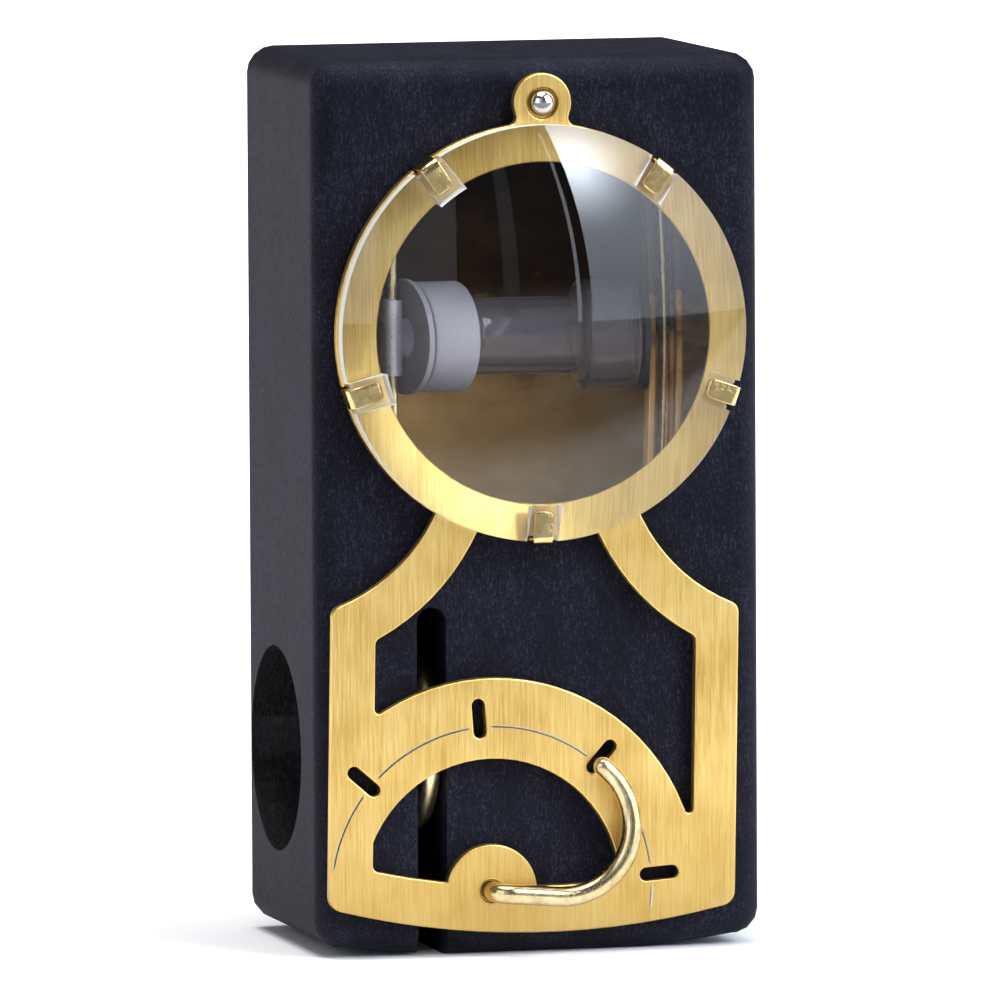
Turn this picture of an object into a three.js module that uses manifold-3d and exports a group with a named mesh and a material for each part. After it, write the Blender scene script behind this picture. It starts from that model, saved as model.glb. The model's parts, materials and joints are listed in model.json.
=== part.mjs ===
// Upright sighting instrument: a black wooden block with a lens chamber, hung with a brass cover
// plate that carries the lens, a quadrant with four detent slots and a wire index lever.
// Millimetres. X is across the front, Y runs from the front face to the back, Z is up.
// The origin is the middle of the base. The front faces -Y.

import * as THREE from 'three';
import { mergeVertices } from 'three/addons/utils/BufferGeometryUtils.js';
import Module from 'manifold-3d';

const wasm = await Module();
wasm.setup();

// ---------------------------------------------------------------- driving dimensions

const FIT = 0.2; // clearance round a pin or a let-in piece
const SEAT = 0.3; // clearance between two faces that rest on each other
const ARC_ERROR = 0.02; // most that a faceted outline may leave its true arc

// Case block.
const CASE_WIDTH = 55;
const CASE_DEPTH = 36;
const CASE_HEIGHT = 107.5;
const EDGE_RADIUS = 2.8; // rounding from front and back into the sides
const CORNER_RADIUS = 3.4; // rounding of the block's outline, more than EDGE_RADIUS
const CROWN_RISE = 1.2; // lift of the base at its two ends
const BASE_FLAT = 18; // width of the flat that the case stands on

// Hole in the left side.
const BORE_RADIUS = 12.4;
const BORE_DEPTH = 10;
const BORE_HEIGHT = 23.4;
const BORE_SETBACK = 20.9; // from the front face to the bore's axis

// Slot in the front, with the wire hoop in it.
const SLOT_X = -13.5;
const SLOT_WIDTH = 3.6;
const SLOT_TOP = 42;
const HOOP_WIRE_RADIUS = 1.2;
const HOOP_OUTER_RADIUS = 10.8;
const HOOP_HEIGHT = 25;
const HOOP_SIDE_ROOM = 0.3; // between the hoop and the right wall of its slot
const HOOP_SETBACK = 0.4; // from the front face to the front of the hoop
const HOOP_BACK_ROOM = 0.8; // behind the hoop in its slot
const HOOP_PIN_RADIUS = 0.8;
const HOOP_PIN_GRIP = 3.2; // length of the pin held in the block on the right

// Cover plate, in its own frame: the pin's axis is the origin, x across and y up.
const PIN_DROP = 5.3; // from the top of the case down to the pin
const COVER_SWING = 1; // degrees, the foot of the plate hangs this far to the left
const PLATE_THICKNESS = 1.4;
const PLATE_STANDOFF = 0.8; // between the case and the plate
const EYELET_RADIUS = 3.55;
const BALL_ROOM = 0.34; // round the pin's ball in the eyelet's recess
const BALL_TRAP = 0.09; // how far the eyelet's lip reaches in behind the ball
const EYELET_LIP = 0.3;
const EYELET_FILLET = 1;
const RING_GAP = 2.4; // from the pin's axis to the ring's rim
const RING_MARGIN = 0.1; // of the ring outside the glass
const RING_OPENING_RADIUS = 19.7;
const LEG_CENTRE_X = 32.4;
const LEG_FALL = 12.3; // of the centre of a leg's curve below the ring's centre
const LEG_OUTER_CURVE = 21.9;
const LEG_WIDTH = 5.6;
const FRAME_HALF_WIDTH = 25.1;
const SIDE_BAR = 5.3;
const FRAME_TOP_CORNER = 1.3;
const FRAME_FOOT_CORNER = 1.8;
const FRAME_FOOT_CURVE = 99.5; // the foot is an arc about the pin
const FOOT_BAR = 5.6;
const WINDOW_CORNER = 0.8;
const BAND_CORNER = 0.55; // where the quadrant's band meets a side bar
const QUADRANT_X = -5.1;
const QUADRANT_DROP = 94.4;
const QUADRANT_RADIUS = 25.6;
const QUADRANT_BAND = 9.7;
const HUB_RADIUS = 5.6;
const DETENT_ANGLES = [5, 50, 95, 140];
const DETENT_RADIUS = 20.8;
const DETENT_LENGTH = 4.8;
const DETENT_WIDTH = 1.6;

// Pivot pin of the cover, with its washer.
const PIN_SHANK_RADIUS = 1;
const PIN_BALL_RADIUS = 1.59;
const PIN_LENGTH_IN_CASE = 9;
const WASHER_RADIUS = 3;
const WASHER_THICKNESS = 0.5;

// Lens and the five claws that hold it on the ring.
const LENS_RADIUS = 24.9;
const LENS_EDGE = 2;
const LENS_DOME = 6.5;
const CLAW_ANGLES = [-90, -18, 54, 126, 198];
const CLAW_INSET = 0.4; // of a claw's inner face inside the glass's rim
const CLAW_WIDTH = 2.4;
const CLAW_THICKNESS = 0.75;
const CLAW_REACH = 3.4; // over the glass
const LEDGE_HEIGHT = 1.7; // of the flats ground in the rim for the claws
const LEDGE_WIDTH = 3.8;
const LEDGE_REACH = 4.1;

// Index lever: a bent wire, laid out from its pivot (0, 0) towards its tip (LEVER_REACH, 0).
const LEVER_WIRE_RADIUS = 1.2;
const LEVER_REACH = 20;
const LEVER_BOW_CENTRE = [11.3, -1.5];
const LEVER_BOW_RADIUS = 8.5;
const LEVER_BEND_RADIUS = 1.9;
const LEVER_RUN_HEIGHT = 2.7; // centre of the wire above the plate
const LEVER_TIP_HEIGHT = 1.5;
const LEVER_ANGLE = 52;
const KEEPER_RADIUS = 2.3;
const KEEPER_THICKNESS = 0.35;
const KEEPER_LIFT = 0.05; // of the keeper and the shank's end inside the plate's back

// Chamber behind the lens and what stands in it.
const CHAMBER_MARGIN = 1.3; // of the chamber outside the ring's opening
const CHAMBER_DEPTH = 26;
const BACK_PLATE_THICKNESS = 0.8;
const POST_X = -12.3;
const POST_RADIUS = 0.5;
const POST_SETBACK = 10; // from the front face to the axes of the post and the vial
const POST_LET_IN = 3;
const SLEEVE_RADIUS = 1;
const SLEEVE_LENGTH = 7.6;
const VIAL_DROP = 1.2; // of the vial's axis below the middle of the lens
const VIAL_END_RADIUS = 5.4;
const VIAL_NECK_RADIUS = 3.75;
const VIAL_WALL = 1;
const VIAL_LEFT_END = 4.6;
const VIAL_NECK = 10.2;
const VIAL_RIGHT_END = 5.4;
const VIAL_SHOULDER = 0.9;
const COLLAR_THICKNESS = 0.6;
const COLLAR_MARGIN = 0.3; // of a collar outside the vial's end
const COLLAR_HOLE_RADIUS = 2;
const CHANNEL_WIDTH = 3.6;
const CHANNEL_DEPTH = 3.6;
const CHANNEL_WALL = 0.7;
const CHANNEL_LET_IN = 2.5;
const CHANNEL_ROD_RADIUS = 0.6;

// ---------------------------------------------------------------- places worked out from them

const FRONT = -CASE_DEPTH / 2;
const PIN_HEIGHT = CASE_HEIGHT - PIN_DROP;
const EYELET_RECESS_RADIUS = PIN_BALL_RADIUS + BALL_ROOM;
const EYELET_LIP_RADIUS = PIN_BALL_RADIUS - BALL_TRAP;
const RING_RADIUS = LENS_RADIUS + RING_MARGIN;
const RING_DROP = RING_RADIUS + RING_GAP; // from the pin down to the ring's centre
const LEG_CENTRE_DROP = RING_DROP + LEG_FALL;
const CHAMBER_RADIUS = RING_OPENING_RADIUS + CHAMBER_MARGIN;
const COLLAR_RADIUS = VIAL_END_RADIUS + COLLAR_MARGIN;
const HOOP_X = SLOT_X + SLOT_WIDTH / 2 - HOOP_SIDE_ROOM - HOOP_WIRE_RADIUS;
const LENS_HEIGHT = PIN_HEIGHT - RING_DROP;
const POST_Y = FRONT + POST_SETBACK;
const VIAL_HEIGHT = LENS_HEIGHT - VIAL_DROP;
const HOOP_Y = FRONT + HOOP_SETBACK + HOOP_OUTER_RADIUS;
const HOOP_INNER_RADIUS = HOOP_OUTER_RADIUS - 2 * HOOP_WIRE_RADIUS;
const LENS_BACK = PLATE_THICKNESS + SEAT; // heights over the plate's back, towards the viewer
const CLAW_INNER_FACE = LENS_RADIUS - CLAW_INSET;
const PIVOT_HOLE_RADIUS = LEVER_WIRE_RADIUS + FIT;
const LEFT_COLLAR_X = POST_X + SLEEVE_RADIUS + SEAT;
const VIAL_X = LEFT_COLLAR_X + COLLAR_THICKNESS + SEAT;
const VIAL_LENGTH = VIAL_LEFT_END + VIAL_NECK + VIAL_RIGHT_END + 2 * VIAL_SHOULDER;
const RIGHT_COLLAR_X = VIAL_X + VIAL_LENGTH + SEAT;
const CHANNEL_X = RIGHT_COLLAR_X + COLLAR_THICKNESS + SEAT;

// ---------------------------------------------------------------- materials

const finish = (color, roughness, metalness) =>
  new THREE.MeshStandardMaterial({ color, roughness, metalness });

const BLACK_WOOD = finish(0x17171c, 0.6, 0);
const BRUSHED_BRASS = finish(0xc9a656, 0.35, 1);
const POLISHED_BRASS = finish(0xd8b765, 0.15, 1);
const STEEL = finish(0xb8b4ae, 0.2, 1);
const NICKEL = finish(0xd6d3cf, 0.25, 1);
const GLASS = finish(0xe8eef0, 0.05, 0);
const DARK_COLLAR = finish(0x1c1a1a, 0.5, 0);

// ---------------------------------------------------------------- solids and outlines

const radians = THREE.MathUtils.degToRad;

function toSolid(geometry) {
  const bare = geometry.clone();
  bare.deleteAttribute('normal');
  bare.deleteAttribute('uv');
  const merged = mergeVertices(bare, 1e-4);
  return new wasm.Manifold(new wasm.Mesh({
    numProp: 3,
    vertProperties: new Float32Array(merged.attributes.position.array),
    triVerts: new Uint32Array(merged.index.array),
  }));
}

function toGeometry(solid) {
  const mesh = solid.getMesh();
  const geometry = new THREE.BufferGeometry();
  geometry.setAttribute('position', new THREE.BufferAttribute(mesh.vertProperties, 3));
  geometry.setIndex(new THREE.BufferAttribute(mesh.triVerts, 1));
  geometry.computeVertexNormals();
  return geometry;
}

const join = (...pieces) =>
  toGeometry(pieces.map(toSolid).reduce((whole, piece) => whole.add(piece)));

const cut = (body, ...tools) =>
  toGeometry(tools.map(toSolid).reduce((rest, tool) => rest.subtract(tool), toSolid(body)));

const meet = (a, b) => toGeometry(toSolid(a).intersect(toSolid(b)));

const point = (x, y) => new THREE.Vector2(x, y);

// Points along an arc from angle a0 to a1, in radians, as close together as ARC_ERROR asks.
function arc(centreX, centreY, radius, a0, a1) {
  const step = 2 * Math.acos(1 - Math.min(ARC_ERROR / radius, 0.15));
  const count = Math.max(2, Math.ceil(Math.abs(a1 - a0) / step));
  return Array.from({ length: count + 1 }, (_, i) => {
    const angle = a0 + ((a1 - a0) * i) / count;
    return point(centreX + radius * Math.cos(angle), centreY + radius * Math.sin(angle));
  });
}

const circle = (centreX, centreY, radius) =>
  arc(centreX, centreY, radius, 0, 2 * Math.PI).slice(0, -1);

// A half outline on the right, and its mirror image on the left.
function mirrored(half) {
  const left = half.filter(({ x }) => x > 1e-6).map(({ x, y }) => point(-x, y));
  return [...half, ...left.reverse()];
}

// An outline drawn as seen from the front, made solid from depth y0 (back) to y1 (front).
function slab(outline, y0, y1) {
  const geometry = new THREE.ExtrudeGeometry(new THREE.Shape(outline), {
    depth: y0 - y1,
    bevelEnabled: false,
  });
  return geometry.rotateX(Math.PI / 2).translate(0, y0, 0);
}

const box = (x0, x1, y0, y1, z0, z1) =>
  new THREE.BoxGeometry(x1 - x0, y1 - y0, z1 - z0)
    .translate((x0 + x1) / 2, (y0 + y1) / 2, (z0 + z1) / 2);

const sidesOf = (radius) =>
  4 * Math.max(4, Math.ceil(Math.PI / Math.acos(1 - Math.min(ARC_ERROR / radius, 0.1)) / 4));

function rodAlong(axis, radius, from, to) {
  const geometry = new THREE.CylinderGeometry(radius, radius, to - from, sidesOf(radius));
  geometry.translate(0, (from + to) / 2, 0);
  if (axis === 'x') geometry.rotateZ(-Math.PI / 2);
  if (axis === 'z') geometry.rotateX(Math.PI / 2);
  return geometry;
}

// A turned piece: its profile is a list of [radius, distance along the axis].
function turned(axis, profile, sides) {
  const points = profile.map(([radius, along]) => point(radius, along));
  const geometry = new THREE.LatheGeometry(points, sides);
  if (axis === 'x') geometry.rotateZ(-Math.PI / 2);
  if (axis === 'z') geometry.rotateX(Math.PI / 2);
  return geometry;
}

const tube = (axis, inner, outer, from, to) =>
  cut(rodAlong(axis, outer, from, to), rodAlong(axis, inner, from - 1, to + 1));

// The crossing of two circles that lies on the left of the way from the first to the second.
function crossing(x0, y0, r0, x1, y1, r1) {
  const gap = Math.hypot(x1 - x0, y1 - y0);
  const along = (gap * gap + r0 * r0 - r1 * r1) / (2 * gap);
  const aside = Math.sqrt(r0 * r0 - along * along);
  const ux = (x1 - x0) / gap;
  const uy = (y1 - y0) / gap;
  return point(x0 + ux * along - uy * aside, y0 + uy * along + ux * aside);
}

const model = new THREE.Group();

function part(name, geometry, material, parent = model) {
  const mesh = new THREE.Mesh(geometry, material);
  mesh.name = name;
  parent.add(mesh);
  return mesh;
}

// ---------------------------------------------------------------- case block

// Front view of the case, drawn EDGE_RADIUS inside its faces so that the bevel can round them.
function caseOutline() {
  const corner = CORNER_RADIUS - EDGE_RADIUS;
  const cornerX = CASE_WIDTH / 2 - CORNER_RADIUS;
  const flat = BASE_FLAT / 2;
  const run = cornerX - flat;
  const crownRadius = (run * run + CROWN_RISE * CROWN_RISE) / (2 * CROWN_RISE);
  const crownAngle = Math.asin(run / crownRadius);
  const down = -Math.PI / 2;
  return mirrored([
    ...arc(flat, crownRadius, crownRadius - EDGE_RADIUS, down, down + crownAngle),
    ...arc(cornerX, CROWN_RISE + CORNER_RADIUS, corner, down + crownAngle, 0),
    ...arc(cornerX, CASE_HEIGHT - CORNER_RADIUS, corner, 0, Math.PI / 2),
  ]);
}

function caseBlock() {
  const block = new THREE.ExtrudeGeometry(new THREE.Shape(caseOutline()), {
    depth: CASE_DEPTH - 2 * EDGE_RADIUS,
    bevelEnabled: true,
    bevelThickness: EDGE_RADIUS,
    bevelSize: EDGE_RADIUS,
    bevelSegments: 6,
  });
  return block.rotateX(Math.PI / 2).translate(0, CASE_DEPTH / 2 - EDGE_RADIUS, 0);
}

// The slot is open to the front and through the base, and its top is round.
function slotCutter() {
  const half = SLOT_WIDTH / 2;
  const back = HOOP_Y + HOOP_OUTER_RADIUS + HOOP_BACK_ROOM;
  const outline = [
    point(SLOT_X - half, -1),
    point(SLOT_X + half, -1),
    ...arc(SLOT_X, SLOT_TOP - half, half, 0, Math.PI),
  ];
  return slab(outline, back, FRONT - 1);
}

const boreCutter = () =>
  rodAlong('x', BORE_RADIUS, -CASE_WIDTH / 2 - 1, -CASE_WIDTH / 2 + BORE_DEPTH)
    .translate(0, FRONT + BORE_SETBACK, BORE_HEIGHT);

const chamberCutter = () =>
  rodAlong('y', CHAMBER_RADIUS, FRONT - 1, FRONT + CHAMBER_DEPTH).translate(0, 0, LENS_HEIGHT);

// Half the height of the chamber at a distance x from its middle.
const chamberHalfHeight = (x) => Math.sqrt(CHAMBER_RADIUS ** 2 - x ** 2);

const POST_HALF_LENGTH = chamberHalfHeight(POST_X) + POST_LET_IN;
const CHANNEL_HALF_LENGTH = chamberHalfHeight(CHANNEL_X + CHANNEL_WIDTH) + CHANNEL_LET_IN;
const CHANNEL_FRONT = POST_Y - CHANNEL_DEPTH / 2;

function caseWithHollows() {
  const postHole = rodAlong('z', POST_RADIUS + FIT, -POST_HALF_LENGTH - FIT, POST_HALF_LENGTH + FIT)
    .translate(POST_X, POST_Y, LENS_HEIGHT);
  const channelMortise = box(
    CHANNEL_X - FIT, CHANNEL_X + CHANNEL_WIDTH + FIT,
    CHANNEL_FRONT - FIT, CHANNEL_FRONT + CHANNEL_DEPTH + FIT,
    LENS_HEIGHT - CHANNEL_HALF_LENGTH - FIT, LENS_HEIGHT + CHANNEL_HALF_LENGTH + FIT,
  );
  const pinHole = rodAlong('y', PIN_SHANK_RADIUS + FIT, FRONT - 1, FRONT + PIN_LENGTH_IN_CASE + FIT)
    .translate(0, 0, PIN_HEIGHT);
  const hoopPinHole = hoopPin(HOOP_PIN_RADIUS + FIT, FIT);
  return cut(
    caseBlock(), slotCutter(), boreCutter(), chamberCutter(),
    postHole, channelMortise, pinHole, hoopPinHole,
  );
}

// ---------------------------------------------------------------- hoop

// Cross pin just under the top of the hoop's inside; its left end stops short of the side bore.
function hoopPin(radius, extra) {
  const boreFloor = -CASE_WIDTH / 2 + BORE_DEPTH;
  const slotLeft = SLOT_X - SLOT_WIDTH / 2;
  const left = (boreFloor + slotLeft) / 2;
  const right = SLOT_X + SLOT_WIDTH / 2 + HOOP_PIN_GRIP;
  const height = HOOP_HEIGHT + HOOP_INNER_RADIUS - HOOP_PIN_RADIUS - SEAT;
  return rodAlong('x', radius, left - extra, right + extra).translate(0, HOOP_Y, height);
}

function hoopRing() {
  const middle = HOOP_OUTER_RADIUS - HOOP_WIRE_RADIUS;
  return new THREE.TorusGeometry(middle, HOOP_WIRE_RADIUS, 10, 48)
    .rotateY(Math.PI / 2)
    .translate(HOOP_X, HOOP_Y, HOOP_HEIGHT);
}

// ---------------------------------------------------------------- cover plate

// Right half of the skirt under the ring: the leg's hollow curve, a round corner, the straight
// side, a round corner and the foot, which is an arc about the pin.
function skirtHalf(halfWidth, legCurve, topCorner, footCurve, footCorner) {
  const start = crossing(
    LEG_CENTRE_X, -LEG_CENTRE_DROP, legCurve,
    0, -RING_DROP, (RING_RADIUS + RING_OPENING_RADIUS) / 2,
  );
  const startAngle = Math.atan2(start.y + LEG_CENTRE_DROP, start.x - LEG_CENTRE_X);
  const topX = halfWidth - topCorner;
  const topRun = LEG_CENTRE_X - topX;
  const topFall = Math.sqrt((legCurve + topCorner) ** 2 - topRun ** 2);
  const topAngle = Math.atan2(-topFall, -topRun);
  const footX = halfWidth - footCorner;
  const footY = -Math.sqrt((footCurve - footCorner) ** 2 - footX ** 2);
  const footAngle = Math.atan2(footY, footX);
  const legStart = startAngle > 0 ? startAngle - 2 * Math.PI : startAngle;
  return [
    ...arc(LEG_CENTRE_X, -LEG_CENTRE_DROP, legCurve, legStart, topAngle),
    ...arc(topX, -LEG_CENTRE_DROP - topFall, topCorner, topAngle + Math.PI, 0),
    ...arc(footX, footY, footCorner, 0, footAngle),
    ...arc(0, 0, footCurve, footAngle, -Math.PI / 2),
  ];
}

// Web between the eyelet and the ring, with a small hollow fillet on each side.
function eyeletNeck() {
  const fillet = crossing(
    0, -RING_DROP, RING_RADIUS + EYELET_FILLET, 0, 0, EYELET_RADIUS + EYELET_FILLET,
  );
  const centre = point(Math.abs(fillet.x), fillet.y);
  const toEyelet = Math.atan2(-centre.y, -centre.x);
  const toRing = Math.atan2(-RING_DROP - centre.y, -centre.x) + 2 * Math.PI;
  return mirrored(arc(centre.x, centre.y, EYELET_FILLET, toEyelet, toRing));
}

// Fills the sharp corner between the band's outer edge and a side bar with a small round. Its two
// last points lie inside the band and inside the bar, so that no gap stays open behind it.
function bandCorner(side) {
  const barX = side * (FRAME_HALF_WIDTH - SIDE_BAR);
  const centreX = barX - side * BAND_CORNER;
  const run = centreX - QUADRANT_X;
  const rise = Math.sqrt((QUADRANT_RADIUS + BAND_CORNER) ** 2 - run ** 2);
  const centreY = rise - QUADRANT_DROP;
  const toBar = side > 0 ? 0 : -Math.PI;
  const toBand = Math.atan2(-rise, -run);
  const meetAngle = Math.acos((barX - QUADRANT_X) / QUADRANT_RADIUS);
  const inBand = QUADRANT_RADIUS - BAND_CORNER;
  const deepX = QUADRANT_X + inBand * Math.cos(meetAngle);
  const deepY = inBand * Math.sin(meetAngle) - QUADRANT_DROP;
  return [
    ...arc(centreX, centreY, BAND_CORNER, toBar, toBand),
    point(deepX, deepY),
    point(barX + side * BAND_CORNER, deepY - BAND_CORNER),
    point(barX + side * BAND_CORNER, centreY),
  ];
}

// A slot with round ends that points away from the quadrant's pivot.
function detentSlot(angle) {
  const half = DETENT_WIDTH / 2;
  const reach = DETENT_LENGTH / 2 - half;
  const turn = radians(angle);
  const outline = [
    ...arc(DETENT_RADIUS + reach, 0, half, -Math.PI / 2, Math.PI / 2),
    ...arc(DETENT_RADIUS - reach, 0, half, Math.PI / 2, 1.5 * Math.PI),
  ];
  const origin = point(0, 0);
  return outline.map((p) => p.rotateAround(origin, turn).add(point(QUADRANT_X, -QUADRANT_DROP)));
}

// The gap in the ring's rim that a claw passes through.
function clawNotch(angle) {
  const half = CLAW_WIDTH / 2 + FIT;
  const turn = radians(angle);
  const outline = [
    point(CLAW_INNER_FACE - FIT, -half),
    point(RING_RADIUS + 2, -half),
    point(RING_RADIUS + 2, half),
    point(CLAW_INNER_FACE - FIT, half),
  ];
  return outline.map((p) => p.rotateAround(point(0, 0), turn).add(point(0, -RING_DROP)));
}

function coverPlate() {
  const sheet = (outline) => slab(outline, 0, -PLATE_THICKNESS);
  const through = (outline) => slab(outline, 1, -PLATE_THICKNESS - 1);
  const skirt = sheet(mirrored(
    skirtHalf(FRAME_HALF_WIDTH, LEG_OUTER_CURVE, FRAME_TOP_CORNER, FRAME_FOOT_CURVE, FRAME_FOOT_CORNER),
  ));
  const window = through(mirrored(skirtHalf(
    FRAME_HALF_WIDTH - SIDE_BAR, LEG_OUTER_CURVE + LEG_WIDTH, WINDOW_CORNER,
    FRAME_FOOT_CURVE - FOOT_BAR, WINDOW_CORNER,
  )));
  const band = cut(
    sheet(circle(QUADRANT_X, -QUADRANT_DROP, QUADRANT_RADIUS)),
    through(circle(QUADRANT_X, -QUADRANT_DROP, QUADRANT_RADIUS - QUADRANT_BAND)),
  );
  const frame = join(
    cut(skirt, window),
    meet(join(band, sheet(circle(QUADRANT_X, -QUADRANT_DROP, HUB_RADIUS))), skirt),
    sheet(bandCorner(1)),
    sheet(bandCorner(-1)),
    sheet(circle(0, -RING_DROP, RING_RADIUS)),
    sheet(circle(0, 0, EYELET_RADIUS)),
    sheet(eyeletNeck()),
  );
  const recessFloor = -EYELET_LIP;
  const keeperSeat = rodAlong('y', KEEPER_RADIUS + FIT, -KEEPER_THICKNESS - FIT, 1)
    .translate(QUADRANT_X, 0, -QUADRANT_DROP);
  return cut(
    frame,
    through(circle(0, -RING_DROP, RING_OPENING_RADIUS)),
    through(circle(0, 0, EYELET_LIP_RADIUS)),
    slab(circle(0, 0, EYELET_RECESS_RADIUS), recessFloor, -PLATE_THICKNESS - 1),
    through(circle(QUADRANT_X, -QUADRANT_DROP, PIVOT_HOLE_RADIUS)),
    keeperSeat,
    ...DETENT_ANGLES.map((angle) => through(detentSlot(angle))),
    ...CLAW_ANGLES.map((angle) => through(clawNotch(angle))),
  );
}

// ---------------------------------------------------------------- lens and claws

// A box that stands on the plate at an angle round the lens: from one radius to another, between
// two heights over the plate's back, and width wide.
function rimBox(angle, r0, r1, h0, h1, width) {
  return box(r0, r1, -h1, -h0, -width / 2, width / 2)
    .rotateY(-radians(angle))
    .translate(0, 0, -RING_DROP);
}

// Plano-convex glass with its flat side to the plate. Under each claw a ledge is ground into it,
// and behind the claw a flat is ground on its rim.
function lens() {
  const sphere = (LENS_RADIUS ** 2 + LENS_DOME ** 2) / (2 * LENS_DOME);
  const crown = LENS_BACK + LENS_EDGE + LENS_DOME;
  const rimAngle = Math.asin(LENS_RADIUS / sphere);
  const dome = arc(0, crown - sphere, sphere, Math.PI / 2 - rimAngle, Math.PI / 2)
    .filter((_, i) => i % 2 === 0);
  const profile = [
    [0, -LENS_BACK],
    [LENS_RADIUS, -LENS_BACK],
    ...dome.slice(0, -1).map(({ x, y }) => [x, -y]),
    [0, -crown],
  ];
  const glass = turned('y', profile.reverse(), 80).translate(0, 0, -RING_DROP);
  const ledges = CLAW_ANGLES.map((angle) => rimBox(
    angle, CLAW_INNER_FACE - LEDGE_REACH, LENS_RADIUS + 1,
    LENS_BACK + LEDGE_HEIGHT, crown + 1, LEDGE_WIDTH,
  ));
  const flats = CLAW_ANGLES.map((angle) => rimBox(
    angle, CLAW_INNER_FACE - SEAT, LENS_RADIUS + 1, LENS_BACK - 1, crown + 1, LEDGE_WIDTH,
  ));
  return cut(glass, ...ledges, ...flats);
}

// A strip bent over the rim: up through the notch in the ring, then in over the ledge.
function lensClaw(angle) {
  const inner = 0.25;
  const outer = inner + CLAW_THICKNESS;
  const under = LENS_BACK + LEDGE_HEIGHT + SEAT;
  const outside = CLAW_INNER_FACE + CLAW_THICKNESS;
  const tip = CLAW_INNER_FACE - CLAW_REACH + CLAW_THICKNESS / 2;
  const bendX = CLAW_INNER_FACE - inner;
  const bendY = under - inner;
  const side = [
    point(CLAW_INNER_FACE, 0),
    point(outside, 0),
    ...arc(bendX, bendY, outer, 0, Math.PI / 2),
    ...arc(tip, under + CLAW_THICKNESS / 2, CLAW_THICKNESS / 2, Math.PI / 2, 1.5 * Math.PI),
    ...arc(bendX, bendY, inner, Math.PI / 2, 0),
  ];
  return new THREE.ExtrudeGeometry(new THREE.Shape(side), { depth: CLAW_WIDTH, bevelEnabled: false })
    .translate(0, 0, -CLAW_WIDTH / 2)
    .rotateX(Math.PI)
    .rotateY(-radians(angle))
    .translate(0, 0, -RING_DROP);
}

// ---------------------------------------------------------------- index lever

// Centre line of the wire: x towards the tip, y up the plate, z out from the plate's back. The
// shank stands in the pivot hole and bends over into a straight run, the run meets a round bow,
// and the last stretch falls to the tip.
function leverLine() {
  const [bowX, bowY] = LEVER_BOW_CENTRE;
  const bowGap = Math.hypot(bowX, bowY);
  const runAngle = Math.atan2(bowY, bowX) - Math.asin(LEVER_BOW_RADIUS / bowGap);
  const tipX = LEVER_REACH - bowX;
  const tipGap = Math.hypot(tipX, bowY);
  const bowStart = runAngle - Math.PI / 2;
  const bowEnd = Math.atan2(-bowY, tipX) - Math.acos(LEVER_BOW_RADIUS / tipGap);
  const runZ = PLATE_THICKNESS + LEVER_RUN_HEIGHT;
  const tipZ = PLATE_THICKNESS + LEVER_TIP_HEIGHT;
  const bendZ = runZ - LEVER_BEND_RADIUS;
  const shank = [new THREE.Vector3(0, 0, KEEPER_LIFT), new THREE.Vector3(0, 0, bendZ)];
  const bend = arc(LEVER_BEND_RADIUS, bendZ, LEVER_BEND_RADIUS, Math.PI, Math.PI / 2)
    .slice(1)
    .map(({ x, y }) => new THREE.Vector3(x * Math.cos(runAngle), x * Math.sin(runAngle), y));
  const bow = arc(bowX, bowY, LEVER_BOW_RADIUS, bowStart, bowEnd).map(({ x, y }, i, all) => {
    const fall = THREE.MathUtils.smoothstep(i, all.length * 0.4, all.length + 1);
    return new THREE.Vector3(x, y, THREE.MathUtils.lerp(runZ, tipZ, fall));
  });
  return new THREE.CatmullRomCurve3(
    [...shank, ...bend, ...bow, new THREE.Vector3(LEVER_REACH, 0, tipZ)],
    false,
    'centripetal',
  );
}

function indexLever() {
  const section = new THREE.Shape(
    Array.from({ length: 12 }, (_, i) => {
      const angle = (i / 12) * 2 * Math.PI;
      return point(LEVER_WIRE_RADIUS * Math.cos(angle), LEVER_WIRE_RADIUS * Math.sin(angle));
    }),
  );
  return new THREE.ExtrudeGeometry(section, { extrudePath: leverLine(), steps: 46 })
    .rotateX(Math.PI / 2);
}

// ---------------------------------------------------------------- pins, chamber pieces, vial

// The shank in the case, and the ball that traps the eyelet's lip.
function pivotPin() {
  const lipFront = PLATE_STANDOFF + EYELET_LIP;
  const ballRest = Math.sqrt(PIN_BALL_RADIUS ** 2 - EYELET_LIP_RADIUS ** 2);
  const ballY = FRONT - lipFront - ballRest - FIT;
  const backAngle = Math.PI / 2 - Math.asin(PIN_SHANK_RADIUS / PIN_BALL_RADIUS);
  const ball = arc(0, ballY, PIN_BALL_RADIUS, -Math.PI / 2, backAngle);
  const end = FRONT + PIN_LENGTH_IN_CASE;
  const profile = [
    [0, ballY - PIN_BALL_RADIUS],
    ...ball.slice(1).map(({ x, y }) => [x, y]),
    [PIN_SHANK_RADIUS, end - PIN_SHANK_RADIUS / 2],
    [PIN_SHANK_RADIUS / 2, end],
    [0, end],
  ];
  return turned('y', profile, 32).translate(0, 0, PIN_HEIGHT);
}

function pivotWasher() {
  const gap = (PLATE_STANDOFF - WASHER_THICKNESS) / 2;
  return tube(
    'y', PIN_SHANK_RADIUS + FIT, WASHER_RADIUS, FRONT - gap - WASHER_THICKNESS, FRONT - gap,
  ).translate(0, 0, PIN_HEIGHT);
}

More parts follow.
